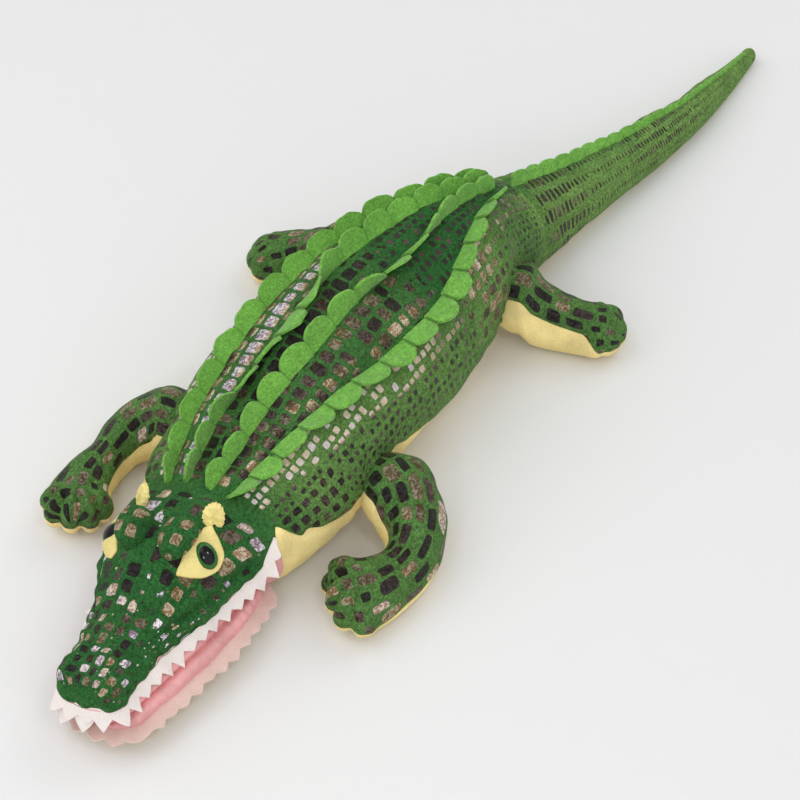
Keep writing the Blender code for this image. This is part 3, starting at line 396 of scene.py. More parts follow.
class Member:
    """A soft member: its centreline, its frame and its cross-section."""
    round_low = 0
    round_high = 0

    def section(self, place):
        """Origin, left, up, half width, low, mid and high edge at many places."""
        raise NotImplementedError

    def seam(self, place, side):
        """Where the upper cloth ends, in degrees from the top."""
        raise NotImplementedError

    def plain(self, place, degrees):
        """Points on the form before its folds, at places and angles."""
        origin, left, up, half, low, mid, high = self.section(place)
        angle = np.radians(degrees)
        cos, sin = np.cos(angle), np.sin(angle)
        rise = mid + np.where(cos > 0, high - mid, mid - low) * self.fuller(cos)
        rise = self.flatten(place, rise)
        return origin + left * (half * sin)[..., None] + up * rise[..., None]

    def fuller(self, cos):
        """Shapes the rise of the section; a plain round one as it stands."""
        return cos

    def flatten(self, place, rise):
        """Keeps the section above what the member rests on."""
        room = REST_EDGE - REST
        return np.where(rise < REST_EDGE, REST + room * np.exp((rise - REST_EDGE) / room), rise)

    def normal(self, place, degrees):
        """Outward directions at places and angles away from the rounded ends."""
        step, turn = 0.0012, 1.2
        along = self.plain(place + step, degrees) - self.plain(place - step, degrees)
        around = self.plain(place, degrees + turn) - self.plain(place, degrees - turn)
        return outwards(np.cross(around, along), self.plain(place, degrees), self.middle(place))

    def middle(self, place):
        """The middle of the section."""
        origin, left, up, half, low, mid, high = self.section(place)
        return origin + up * mid[..., None]

    def from_seam(self, place, side, half):
        """Distance from the seam, round the member."""
        return np.radians(np.abs(np.abs(side) - self.seam(place, side))) * np.maximum(half, 0.01)

    def relief(self, place, degrees, points):
        """How far the cloth stands out from the plain form."""
        raise NotImplementedError

    def skin(self, place, degrees, lift=0.0):
        """Points on the finished cloth and their outward directions."""
        place, degrees = np.broadcast_arrays(np.asarray(place, float), np.asarray(degrees, float))
        points = self.plain(place, degrees)
        out = self.normal(place, degrees)
        return points + out * (self.relief(place, degrees, points) + lift)[..., None], out

    def kinds(self, place, degrees):
        """Material numbers: 0 over the seam and 1 under it."""
        return np.where(np.abs(degrees) < self.seam(place, degrees), 0, 1)

    def prints(self, place, degrees):
        """Large scales, small scales and foil shade of the print; none on a plain member."""
        return [np.zeros(place.shape + (3,))] * 3


class Trunk(Member):
    """Head, body and tail as one run of cloth from the snout to the tail tip."""
    STEP = 0.002
    SMOOTH = 9
    round_low = SNOUT_ROUND
    round_high = TAIL_ROUND

    def __init__(self):
        self.first = -HEAD_LENGTH - SNOUT_ROUND
        self.last = BODY_LENGTH + TAIL_FRONT + TAIL_REAR + TAIL_ROUND
        s = np.arange(self.first - 0.03, self.last + 0.03, self.STEP)
        behind = s - BODY_LENGTH
        bend = walk(RUMP, TAIL_HEADING_DEG, [], np.array(TAIL_FRONT))[0]
        runs = [walk(NECK, HEAD_HEADING_DEG, [], s),
                walk(NECK, BODY_HEADING_DEG, [(BODY_LENGTH, BODY_TURN_DEG)], np.maximum(s, 0)),
                walk(RUMP, TAIL_HEADING_DEG, [], behind),
                walk(bend, TAIL_HEADING_DEG, [(TAIL_REAR, TAIL_TURN_DEG)], np.maximum(behind - TAIL_FRONT, 0))]
        limits = [s < 0, s < BODY_LENGTH, s < BODY_LENGTH + TAIL_FRONT]

        def pick(*parts):
            shape = (-1,) + (1,) * (np.ndim(parts[0]) - 1)
            return np.select([limit.reshape(shape) for limit in limits], list(parts[:3]), parts[3])

        point = pick(*(run[0] for run in runs))
        turn = smooth_over(pick(*(run[1] for run in runs)), self.SMOOTH)
        level = np.stack([np.sin(turn), -np.cos(turn), np.zeros_like(turn)], -1)
        roll = math.radians(HEAD_ROLL_DEG) * ease(-s / ROLL_LENGTH)[:, None]
        vertical = np.array([0.0, 0.0, 1.0])
        left = level * np.cos(roll) + vertical * np.sin(roll)
        up = vertical * np.cos(roll) - level * np.sin(roll)
        aside = level * np.sin(roll) * MOUTH_LINE
        base = smooth_over(np.concatenate([point, np.zeros((len(s), 1))], 1) + aside, 4)
        origin = base - level * curve(HEAD_SHIFT_ROWS, -s / HEAD_LENGTH)
        head = curve(HEAD_ROW_SHARES, -s / HEAD_LENGTH) * (HEAD_WIDTH, HEAD_HEIGHT)
        body = curve(BODY_ROW_SHARES, s / BODY_LENGTH) * (BODY_WIDTH, BODY_HEIGHT)
        share = TAIL_FRONT / (TAIL_FRONT + TAIL_REAR + TAIL_ROUND)
        tail_share = np.where(behind < TAIL_FRONT, behind / TAIL_FRONT * share,
                              share + (1 - share) * (behind - TAIL_FRONT) / TAIL_REAR)
        tail = curve(TAIL_ROW_SHARES, tail_share) * (TAIL_WIDTH, TAIL_HEIGHT)
        half, high = smooth_over(pick(head, body, tail, tail), self.SMOOTH).T
        low = np.full_like(s, LOW_EDGE)
        mid = smooth_over(np.where(limits[0], MOUTH_LINE, low + (high - low) * WAIST_SHARE), 2 * self.SMOOTH)
        self.s = s
        self.table = np.concatenate([smooth_over(origin, 4), left, up, np.stack([half, low, mid, high], -1)], 1)

    def section(self, place):
        place = np.asarray(place, float)
        held = np.clip(place, -HEAD_LENGTH, self.last - TAIL_ROUND)
        read = np.stack([np.interp(held, self.s, column) for column in self.table.T], -1)
        origin, left, up = read[..., 0:3], unit(read[..., 3:6]), unit(read[..., 6:9])
        over = place - held
        shrink = np.where(over < 0, dome(-over / SNOUT_ROUND, 2.5), dome(over / TAIL_ROUND))
        origin = origin + np.cross(up, left) * over[..., None]
        return (origin, left, up, *shrunk(*(read[..., k] for k in range(9, 13)), shrink))

    def seam(self, place, side):
        seams = curve(SEAM_ROWS, place)
        return np.where(side > 0, seams[..., 0], seams[..., 1])

    def flatten(self, place, rise):
        rise = super().flatten(place, rise)
        mouth = ease((-place - JAW_PLACE + 0.012) / 0.016)
        return rise + (np.maximum(rise, MOUTH_LINE - 0.0002) - rise) * mouth

    def relief(self, place, degrees, points):
        place, side = np.asarray(place, float), wrapped(degrees)
        flank = np.abs(side)
        half = self.section(place)[3]
        rest = ease((points[..., 2] - REST_EDGE) / 0.02)
        total = (0.0013 * ripple(points, 0.055, 3) + 0.0006 * ripple(points, 0.021, 4)) * rest
        total = total * ease((self.last - place) / 0.12)
        total -= 0.0016 * hump(self.from_seam(place, side, half), 0, 0.0035) * ease((self.last - place) / 0.06)
        # The two bumps of the snout and the dip between them
        ahead = -place - HEAD_LENGTH
        for turn in (-46.0, 38.0):
            total += 0.0062 * hump(ahead, -0.002, 0.012) * hump(side, turn, 22.0)
        total -= 0.0022 * hump(ahead, -0.006, 0.014) * hump(side, -4.0, 16.0)
        # The lips, the folds of the cheeks and small dents of the head
        lip = hump(flank, 82, 16) * ease((-place - 0.03) / 0.02)
        total += lip * (0.0010 + 0.0016 * ripple(points, 0.034, 8))
        fold = curve(CHEEK_FOLD, place)[..., 0]
        reach = ease((-place - 0.016) / 0.02) * ease((place + 0.135) / 0.03)
        total -= 0.0034 * reach * hump(flank, fold, 4.0)
        total += 0.0014 * reach * (hump(flank, fold + 9, 6) + hump(flank, fold - 10, 7))
        total += 0.0011 * ripple(points, 0.017, 31) * ease(-place / 0.02) * rest
        neck = hump(place, HEAD_EDGE, 0.010) * (flank < 100)
        total -= 0.0014 * neck * (0.6 + 0.4 * np.cos(np.radians(side) * 7))
        # Gathers at the frills and round the roots of the legs
        for angles, leans in FRILLS.values():
            off = np.radians(side - curve(angles, place)[..., 0]) * half
            pull = hump(off, 0, 0.006) * ease((place + 0.012) / 0.012) * ease((0.405 - place) / 0.02)
            total -= pull * (0.0016 + 0.0008 * ripple(points, 0.012, 9))
        for name, (kind, heading, arcs, radius, height, slim) in LEGS.items():
            away = points - (*PIVOTS[name + "_leg_swing"][:2], height)
            tuck = hump(np.linalg.norm(away, axis=-1), radius + 0.003, 0.007)
            total -= tuck * (0.0026 + 0.0010 * np.cos(np.arctan2(away[..., 2], away[..., 0]) * 11))
        return total

    def kinds(self, place, degrees):
        kinds = super().kinds(place, degrees)
        return np.where((kinds == 1) & (place < LINING_EDGE), 2, kinds)

    def prints(self, place, degrees):
        side = wrapped(degrees)
        head, tail = place < HEAD_EDGE, place > TAIL_EDGE

        def by_part(on_body, on_head, on_tail):
            return np.where(head, on_head, np.where(tail, on_tail, on_body))

        def scales_of(fill, steps):
            sets = [rows_of(self, place, side, *step) for step in steps]
            return np.stack([by_part(*(rows[k] for rows in sets)) for k in (0, 1)] + [fill * seam * ends], -1)

        left_edge, right_edge = (curve(FRILLS["frill_outer_" + word][0], place)[..., 0] for word in ("left", "right"))
        beyond = np.maximum(side - left_edge, right_edge - side)
        flank = ease((beyond - 1) / 3)
        back = 1 - flank
        front = 1 - ease((place - 0.19) / 0.07)
        rear = ease((place - 0.225) / 0.05)
        low = ease((np.abs(side) - 80) / 12)
        cheek = ease((np.abs(side) - 62) / 10)
        under_frill = ease((25 - beyond) / 5) * flank
        shoulder = flank * ease((np.abs(side) - 46) / 5) * (1 - ease((place - 0.060) / 0.02))
        gold = hump(place, 0.315, 0.05) * flank * (1 - low)

        # How full the cells of the large and of the small scales are
        fill_a = 0.82 * back * (1 - rear) + 0.80 * gold * (gold > 0.4) + 0.66 * shoulder * (shoulder > 0.4)
        fill_b = flank * (0.52 + 0.20 * under_frill - 0.1 * low) * (gold <= 0.4) * (shoulder <= 0.4)
        fill_b = fill_b + back * rear * 0.66
        flat = np.stack([place, side / 900, 0 * side], -1)
        head_a = 0.74 * (1 - 0.6 * cheek) * (1 - 0.7 * ease((ripple(flat, 0.042, 27) - 0.45) / 0.2))
        head_b = 0.24 * ease((ripple(flat, 0.03, 21) + 0.2) / 0.5)
        dashes = np.maximum(hump(place, 0.462, 0.040), 0.85 * hump(place, 0.630, 0.055) * (1 - cheek))
        tail_a = 0.30 + 0.34 * dashes - 0.12 * ease((place - 0.70) / 0.06) - 0.10 * ease((np.abs(side) - 118) / 10)
        seam = ease((np.abs(place - HEAD_EDGE) - 0.006) / 0.004) * ease((np.abs(place - TAIL_EDGE) - 0.004) / 0.003)
        ends = ease((self.last - 0.012 - place) / 0.02) * ease((place + 0.1945) / 0.006)

        # Shade of the foil, its spread from scale to scale, and tone of the cloth
        lilac, beside, brass = (hump(side, middle, reach) * (1 - rear)
                                for middle, reach in ((-27, 7), (left_edge - 6.5, 4.5), (12, 4.5)))
        shade = (0.07 + 0.80 * lilac + 0.30 * beside + 0.10 * brass) * back + 0.22 * gold
        shade = shade + flank * (0.08 + 0.55 * under_frill * (0.35 + 0.65 * front))
        shade = shade * (1 - 0.8 * shoulder) + 0.10 * shoulder
        spread = back * (0.38 - 0.18 * rear) * (1 - 0.8 * lilac) + flank * (0.20 + 0.16 * gold)
        tone = 0.17 * ease((place + 0.04) / 0.08) - 0.22 * rear + 0.95 * ease((place - 0.40) / 0.05)
        tone = tone + 0.50 * flank * ease((place + 0.01) / 0.05) * (1 - tail) + 0.25 * gold
        tone = tone - 0.5 * tail * hump(side, -4, 20) * (place < 0.6)
        return [scales_of(by_part(fill_a, head_a, tail_a), LARGE_STEPS),
                scales_of(by_part(fill_b, head_b, 0), SMALL_STEPS),
                np.stack([by_part(shade, 0.31, 0.13), np.clip(tone, 0, 1), by_part(spread, 1.08, 0.22)], -1)]


class Leg(Member):
    """A leg from the ball at its root to the rounded paw."""
    round_high = PAW_ROUND

    def __init__(self, name):
        self.name = name
        kind, self.heading, self.arcs, self.radius, self.height, self.slim = LEGS[name]
        self.rows, self.width, self.tall, self.groove = LEG_KINDS[kind]
        self.length = sum(length for length, turn in self.arcs)
        self.start = PIVOTS[name + "_leg_swing"]
        self.round_low = self.radius
        self.first, self.last = -self.radius, self.length + PAW_ROUND

    def section(self, place):
        place = np.asarray(place, float)
        held = np.clip(place, 0, self.length)
        point, turn = walk(self.start, self.heading, self.arcs, held)
        rows = curve(self.rows, held / self.length)
        half, high = rows[..., 0] * self.width * self.slim, rows[..., 1] * self.tall
        low = LOW_EDGE + 0.004 * ease(1 - held / 0.03)
        mid = low + (high - low) * WAIST_SHARE
        near = ease(1 - held / (self.length * 0.25))
        half, low, mid, high = (edge + (root - edge) * near for edge, root in (
            (half, self.radius), (low, self.height - self.radius), (mid, self.height),
            (high, self.height + self.radius)))
        along = np.stack([np.cos(turn), np.sin(turn), np.zeros_like(turn)], -1)
        up = np.zeros_like(along) + (0, 0, 1)
        over = place - held
        shrink = np.where(over < 0, dome(-over / self.radius), dome(over / PAW_ROUND, 2.4))
        origin = np.concatenate([point, np.zeros(point.shape[:-1] + (1,))], -1) + along * over[..., None]
        return (origin, np.cross(up, along), up, *shrunk(half, low, mid, high, shrink))

    def relief(self, place, degrees, points):
        place, side = np.asarray(place, float), wrapped(degrees)
        half = self.section(np.minimum(place, self.length))[3]
        rest = ease((points[..., 2] - REST_EDGE) / 0.015)
        total = (0.0010 * ripple(points, 0.038, 5) + 0.0005 * ripple(points, 0.015, 6)) * rest
        total -= 0.0015 * hump(self.from_seam(place, side, half), 0, 0.003)
        # Grooves between the toes and a full ball of the paw
        end, turn = walk(self.start, self.heading, self.arcs, np.array(self.length - 0.006))
        spot = points[..., :2] - end
        ahead = spot[..., 0] * math.cos(turn) + spot[..., 1] * math.sin(turn)
        across = -spot[..., 0] * math.sin(turn) + spot[..., 1] * math.cos(turn)
        fan = np.degrees(np.arctan2(across, ahead))
        far = np.hypot(ahead, across)
        for toe in TOE_DEGS:
            total -= self.groove * hump(fan, toe, 7.0) * ease((far - 0.006) / 0.016) * ease(ahead / 0.008)
        return total + 0.0024 * ease((far - 0.008) / 0.012) * ease(ahead / 0.01) * rest

    def seam(self, place, side):
        toes = ease((place - self.length + 0.01) / 0.02)
        inner, outer = SOLE_DEGS[self.name]
        return np.where(side < 0, inner + (92 - inner) * toes, outer + (92 - outer) * toes)

    def prints(self, place, degrees):
        paw = ease((place - self.length + 0.012) / 0.012)
        u = place / LEG_SCALE_LENGTH + 0.4 * paw * (place - self.length) / LEG_SCALE_LENGTH
        v = np.radians(wrapped(degrees)) * 0.030 / LEG_SCALE_WIDTH
        none = np.zeros_like(v)
        return [np.stack([u, v, 0.80 - 0.18 * paw], -1), np.stack([u, v, none], -1),
                none[..., None] + (0.10, 0.44, 0.66)]


class Jaw(Member):
    """The lower jaw, flat on the floor, its lining rising towards the palate."""
    round_low = 0.016
    round_high = 0.014
    first = -HEAD_LENGTH - SNOUT_ROUND + 0.010
    last = -0.016

    def section(self, place):
        place = np.asarray(place, float)
        inner = self.first + self.round_low
        held = np.clip(place, inner, self.last - self.round_high)
        read = np.maximum(held, 0.0005 - HEAD_LENGTH)
        origin, left, up = TRUNK.section(read)[:3]
        origin = origin + left * curve(HEAD_SHIFT_ROWS, -held / HEAD_LENGTH) * 0.45
        origin = origin + np.cross(up, left) * (place - read)[..., None]
        half = curve(JAW_ROW_SHARES, (-held - JAW_PLACE) / (-inner - JAW_PLACE))[..., 0] * JAW_WIDTH
        over = place - held
        shrink = np.where(over < 0, dome(-over / self.round_low, 2.2), dome(over / self.round_high))
        low, mid, high = (np.full_like(half, edge) for edge in (LOW_EDGE, JAW_HEIGHT, JAW_TOP))
        return (origin, left, up, *shrunk(half, low, mid, high, shrink))

    def fuller(self, cos):
        return np.sign(cos) * np.abs(cos) ** np.where(cos > 0, 0.75, 0.9)

    def relief(self, place, degrees, points):
        rest = ease((points[..., 2] - REST_EDGE) / 0.012)
        side = np.abs(wrapped(degrees))
        roll = hump(side, 80, 9.0) + hump(side, 48, 12.0)
        pucker = 0.0005 * roll * np.sin(np.asarray(place) * 2 * math.pi / 0.0085)
        return (0.0008 * ripple(points, 0.030, 12) + 0.0016 * roll + pucker) * rest - 0.0060 * hump(side, 65, 4.0)

    def seam(self, place, side):
        return np.full(np.shape(place), 92.0)


# Meshes
def only(piece):
    """Makes one object the only selected and the active one."""
    bpy.ops.object.select_all(action="DESELECT")
    piece.select_set(True)
    bpy.context.view_layer.objects.active = piece


def name_it(name):
    """Names the new primitive and its mesh."""
    piece = bpy.context.object
    piece.name = name
    piece.data.name = name
    return piece


def sheet_of(name, points, vectors=None, kinds=None):
    """A grid primitive bent to points[row, column], with attributes and material numbers."""
    rows, columns = points.shape[:2]
    bpy.ops.object.select_all(action="DESELECT")
    bpy.ops.mesh.primitive_grid_add(x_subdivisions=columns - 1, y_subdivisions=rows - 1, size=1)
    piece = name_it(name)
    piece.data.vertices.foreach_set("co", points.reshape(-1, 3).astype(np.float32).ravel())
    for key, values in (vectors or {}).items():
        layer = piece.data.attributes.new(key, "FLOAT_VECTOR", "POINT")
        layer.data.foreach_set("vector", np.asarray(values, np.float32).ravel())
    if kinds is not None:
        piece.data.polygons.foreach_set("material_index", np.asarray(kinds, np.int32).ravel())
    piece.data.update()
    return piece


def close_up(piece, weld=0.00005):
    """Merges the meeting edges of a bent grid, closes its ends and turns it outwards."""
    only(piece)
    bpy.ops.object.mode_set(mode="EDIT")
    bpy.ops.mesh.select_all(action="SELECT")
    bpy.ops.mesh.remove_doubles(threshold=weld)
    bpy.ops.mesh.select_all(action="DESELECT")
    bpy.ops.mesh.select_non_manifold(extend=False, use_wire=False, use_multi_face=False,
                                     use_non_contiguous=False, use_verts=False)
    bpy.ops.mesh.fill_holes(sides=0)
    bpy.ops.mesh.select_all(action="SELECT")
    bpy.ops.mesh.normals_make_consistent(inside=False)
    bpy.ops.object.mode_set(mode="OBJECT")
    bpy.ops.object.shade_smooth_by_angle(angle=math.radians(50))
    return piece


def stuffed(name, member, first, last, count, columns):
    """A closed stuffed form over part of a member, its seam on a row of edges."""
    ends = quarter(17)
    low_round = member.round_low if first <= member.first + 1e-6 else 0
    high_round = member.round_high if last >= member.last - 1e-6 else 0
    places = np.linspace(first + low_round, last - high_round, count + 1)
    if low_round:
        places = np.concatenate([places[0] - low_round * ends[:0:-1], places])
    if high_round:
        places = np.concatenate([places, places[-1] + high_round * ends[1:]])
    over, under = columns
    half_under = np.linspace(0, 1, under // 2 + 1)
    over_share = np.linspace(-1, 1, over + 1)[1:-1]
    right, left = member.seam(places, -1.0)[:, None], member.seam(places, 1.0)[:, None]
    angles = np.concatenate([
        -180 + (180 - right) * half_under,
        np.where(over_share < 0, right, left) * over_share,
        left + (180 - left) * half_under,
    ], 1)
    grid = np.broadcast_to(places[:, None], angles.shape)
    points = member.plain(grid, angles)
    core = member.middle(np.clip(grid, member.first + member.round_low, member.last - member.round_high))
    out = outwards(np.cross(np.gradient(points, axis=1), np.gradient(points, axis=0)), points, core)
    out[:, 0] = out[:, -1] = (out[:, 0] + out[:, -1]) / 2
    if low_round:
        out[0] = out[1].mean(0)
    if high_round:
        out[-1] = out[-2].mean(0)
    points = points + out * member.relief(grid, angles, points)[..., None]
    points[..., 2] = np.maximum(points[..., 2], FLOOR_GAP)
    kinds = member.kinds((grid[:-1, :-1] + grid[1:, 1:]) / 2, (angles[:-1, :-1] + angles[1:, 1:]) / 2)
    return close_up(sheet_of(name, points, dict(zip(PRINTS, member.prints(grid, angles))), kinds))


def strip(name, base, rise, thick, height, slide=None, notch_shade=None):
    """A felt strip that stands on base points: its rise, half its thickness, its height and the painted shade at its
    notches.
    """
    shares = [0, 0.2, 0.4, 0.6, 0.78, 0.92, 0.98, 1]
    up = np.array(shares + shares[::-1] + [0])
    side = np.array([1] * 7 + [0.72, -0.72] + [-1] * 7 + [1])
    points = base[:, None] + rise[:, None] * (height[:, None] * up)[..., None]
    points = points + thick[:, None] * side[None, :, None]
    if slide is not None:
        points = points + slide(up)
    kept = None
    # Painted shade in the crease at each notch, faint at the foot of the strip
    if notch_shade is not None:
        kept = {"crease_shading": np.repeat((notch_shade[:, None] * ease((up + 0.1) / 0.5))[..., None], 3, -1)}
    return close_up(sheet_of(name, points, kept), weld=0.00002)


def arc_length(points):
    """Distance along a run of points."""
    return summed(np.linalg.norm(np.diff(points, axis=0), axis=1))


def along(points, distances):
    """Points at distances along a run of points."""
    run = arc_length(points)
    return np.stack([np.interp(distances, run, points[:, k]) for k in range(3)], -1)


# Materials
def fill(tree, node, **inputs):
    """Links or sets the inputs of a node, named with underscores for spaces."""
    for key, value in inputs.items():
        socket = node.inputs[int(key[1:]) if key[1:].isdigit() else key.replace("_", " ")]
        if isinstance(value, bpy.types.NodeSocket):
            tree.links.new(value, socket)
        else:
            socket.default_value = value
    return node


def add(tree, kind, settings=None, **inputs):
    """Adds a node, sets it and fills its inputs."""
    made = tree.nodes.new("ShaderNode" + kind)
    for key, value in (settings or {}).items():
        setattr(made, key, value)
    return fill(tree, made, **inputs)


def new_material(name):
    """An empty material with a shader, its tree and the places on the piece that wears it."""
    material = bpy.data.materials.new(name)
    material.use_nodes = True
    tree = material.node_tree
    return material, tree, tree.nodes["Principled BSDF"], add(tree, "TexCoord").outputs["Object"]


def read_vector(tree, name):
    """A vector kept on the mesh, and its three parts."""
    vector = add(tree, "Attribute", {"attribute_name": name}).outputs["Vector"]
    return vector, add(tree, "SeparateXYZ", _0=vector).outputs


def maths(tree, operation, *values, clamp=False):
    """The result of a Math node."""
    inputs = {"_" + str(k): value for k, value in enumerate(values)}
    return add(tree, "Math", {"operation": operation, "use_clamp": clamp}, **inputs).outputs[0]


def line(tree, value, factor, offset, clamp=False):
    """A value times a factor, plus an offset."""
    return maths(tree, "MULTIPLY_ADD", value, factor, offset, clamp=clamp)


def mix(tree, share, a, b, blend="MIX"):
    """A mix of two colours."""
    a, b = (value if isinstance(value, bpy.types.NodeSocket) else (*value[:3], 1) for value in (a, b))
    return add(tree, "Mix", {"data_type": "RGBA", "blend_type": blend}, _0=share, _6=a, _7=b).outputs[2]


def times(tree, a, b):
    """Two colours multiplied."""
    return mix(tree, 1.0, a, b, "MULTIPLY")


def noise(tree, place, size_mm, detail=2.0, roughness=0.5, distortion=0.0):
    """Noise with features of about a size in millimetres."""
    return add(tree, "TexNoise", Vector=place, Scale=1000 / size_mm, Detail=detail, Roughness=roughness,
               Distortion=distortion).outputs[0]


def scaled(colour, factor):
    """A colour made lighter or darker."""
    return tuple(c * factor for c in colour[:3])


def toned(tree, value, factor, offset, colour, less, more):
    """A colour that runs from darker to lighter with a value."""
    return mix(tree, line(tree, value, factor, offset, True), scaled(colour, 1 - less), scaled(colour, 1 + more))


def bumped(tree, height, metres, strength=1.0):
    """A normal bent by a height map."""
    return add(tree, "Bump", Height=height, Distance=metres, Strength=strength).outputs[0]


def pile(tree, place, size_mm, colour, contrast):
    """Colour and height of short pile: painted light where the tufts stand higher, painted shade between them, and
    painted sheen where the pile lies another way.
    """
    tufts = noise(tree, place, size_mm, 4.0, 0.7, 0.6)
    gap_shade = noise(tree, place, size_mm / 1.8, 2.0, 0.6)
    nap_sheen = noise(tree, place, 24, 3.0)
    # Painted light on the higher tufts and painted shade between them
    tone = times(tree, toned(tree, tufts, 3.0, -1.0, colour, contrast, contrast),
                 toned(tree, gap_shade, 5.0, -1.7, WHITE, contrast, contrast * 0.15))
    # Painted sheen where the pile lies another way, lighter in some places and darker in others
    return times(tree, tone, toned(tree, nap_sheen, 2.4, -0.7, WHITE, 0.14, 0.16)), tufts


def plush(name, colour, contrast, size_mm=1.7):
    """Short-pile polyester plush: matte, soft at its edges, with fine tufts and painted light and shade in its pile."""
    material, tree, shader, place = new_material(name)
    tone, tufts = pile(tree, place, size_mm, colour, contrast)
    fill(tree, shader, Base_Color=tone, Normal=bumped(tree, tufts, 0.0007, 0.8), Roughness=0.92,
         Sheen_Weight=0.35, Sheen_Roughness=0.45, Sheen_Tint=(*scaled(colour, 2.2), 1), Specular_IOR_Level=0.2)
    return material


def scales(tree, attribute, missing):
    """Mask, dice, row dice and nearness to the edge of rounded scales laid in rows."""
    where, parts = read_vector(tree, attribute)
    fullness = parts[2]
    wander = add(tree, "TexNoise", {"noise_dimensions": "2D"}, Vector=where, Scale=0.45, Detail=1.0).outputs["Color"]
    moved = add(tree, "VectorMath", {"operation": "MULTIPLY_ADD"}, _0=wander, _1=(0.45, 0.26, 0.0), _2=where)
    flat = add(tree, "SeparateXYZ", _0=moved.outputs[0]).outputs
    row = maths(tree, "FLOOR", flat[1])
    row_dice = add(tree, "TexWhiteNoise", {"noise_dimensions": "1D"}, W=row).outputs["Value"]
    u = line(tree, row_dice, 7.3, flat[0])
    cell = add(tree, "CombineXYZ", _0=maths(tree, "FLOOR", u), _1=row).outputs[0]
    dice = add(tree, "TexWhiteNoise", {"noise_dimensions": "2D"}, Vector=cell)
    spares = add(tree, "SeparateXYZ", _0=dice.outputs["Color"]).outputs
    crumb = add(tree, "TexNoise", {"noise_dimensions": "2D"}, Vector=where, Scale=4.5, Detail=4.0, Roughness=0.6)
    total = line(tree, crumb.outputs[0], 1.0, -0.5)
    for axis, spare in ((u, spares[0]), (flat[1], spares[1])):
        off = maths(tree, "ABSOLUTE", maths(tree, "SUBTRACT", maths(tree, "FRACT", axis), 0.5))
        half = maths(tree, "MULTIPLY", fullness, line(tree, spare, 0.20, 0.39))
        reach = maths(tree, "DIVIDE", off, maths(tree, "MAXIMUM", half, 0.01))
        total = maths(tree, "ADD", total, maths(tree, "POWER", reach, 4.6))
    inside = maths(tree, "MULTIPLY", maths(tree, "SUBTRACT", 1.0, total), 2.6, clamp=True)
    kept = maths(tree, "GREATER_THAN", dice.outputs["Value"], missing)
    there = maths(tree, "MULTIPLY", kept, maths(tree, "GREATER_THAN", fullness, 0.12))
    return maths(tree, "MULTIPLY", inside, there), spares[2], row_dice, line(tree, total, 1.5, -0.25, True)


def foil_plush(name, dark, pale):
    """Short-pile plush, with painted light and shade in its pile, and a hot-pressed foil print in lengthwise rows of
    rounded scales with painted highlights and shade.
    """
    material, tree, shader, place = new_material(name)
    lightness, cloth_tone, spread = read_vector(tree, "print_shade")[1]
    tone, tufts = pile(tree, place, 2.8, WHITE, 0.42)
    tone = times(tree, mix(tree, cloth_tone, dark, pale), tone)
    large, small = scales(tree, "print_large", 0.05), scales(tree, "print_small", 0.16)
    mask = maths(tree, "MAXIMUM", large[0], small[0])
    first = maths(tree, "GREATER_THAN", small[0], large[0])

    def either(a, b):
        return add(tree, "Mix", {"data_type": "FLOAT"}, _0=first, _2=a, _3=b).outputs[0]

    dice, row, rim = (either(a, b) for a, b in zip(large[1:], small[1:]))

    # Shade of the foil: thrown for each scale and each row, with a painted highlight towards its rim
    throw = maths(tree, "SUBTRACT", line(tree, row, 0.35, maths(tree, "POWER", dice, 1.7)), 0.42)
    shade = line(tree, throw, spread, lightness)
    # Painted highlight: gleams of reflected light near the rim of each scale
    gleam = line(tree, noise(tree, place, 8.0, 2.0, distortion=0.8), 3.6, -1.45, True)
    shade = line(tree, maths(tree, "MULTIPLY", gleam, line(tree, rim, 0.26, 0.02)), line(tree, shade, 0.5, 0.55), shade)
    ramp = add(tree, "ValToRGB", Fac=shade)
    while len(ramp.color_ramp.elements) < len(FOIL_STOPS):
        ramp.color_ramp.elements.new(0.5)
    for element, (spot, text) in zip(ramp.color_ramp.elements, FOIL_STOPS):
        element.position = spot
        element.color = (*srgb(text), 1)

    # Creases of the crinkled foil: painted shade in them and a painted highlight between them, both stronger on paler
    # foil
    crease_shading = line(tree, noise(tree, place, 4.0, 3.0, 0.65, 1.4), 8.0, -3.6, True)
    crease_shading = either(crease_shading, line(tree, crease_shading, 0.35, 0.65))
    # How strong the painted shade and painted highlight of the crinkles are, more on paler foil
    gloss = line(tree, maths(tree, "MULTIPLY", shade, shade), 0.85, 0.02, True)
    crinkle_shade = times(tree, ramp.outputs[0], mix(tree, gloss, (0.62, 0.50, 0.52), (0.34, 0.24, 0.27)))
    bright = mix(tree, gloss, ramp.outputs[0], (0.95, 0.90, 0.92))
    height = maths(tree, "SUBTRACT", tufts, maths(tree, "MULTIPLY", mask, 0.7))
    fill(tree, shader, Base_Color=mix(tree, mask, tone, mix(tree, crease_shading, crinkle_shade, bright)),
         Roughness=line(tree, mask, -0.58, 0.92), Normal=bumped(tree, height, 0.0019), Sheen_Weight=0.18,
         Sheen_Roughness=0.45, Sheen_Tint=(*scaled(pale, 1.8), 1), Specular_IOR_Level=0.18)
    return material


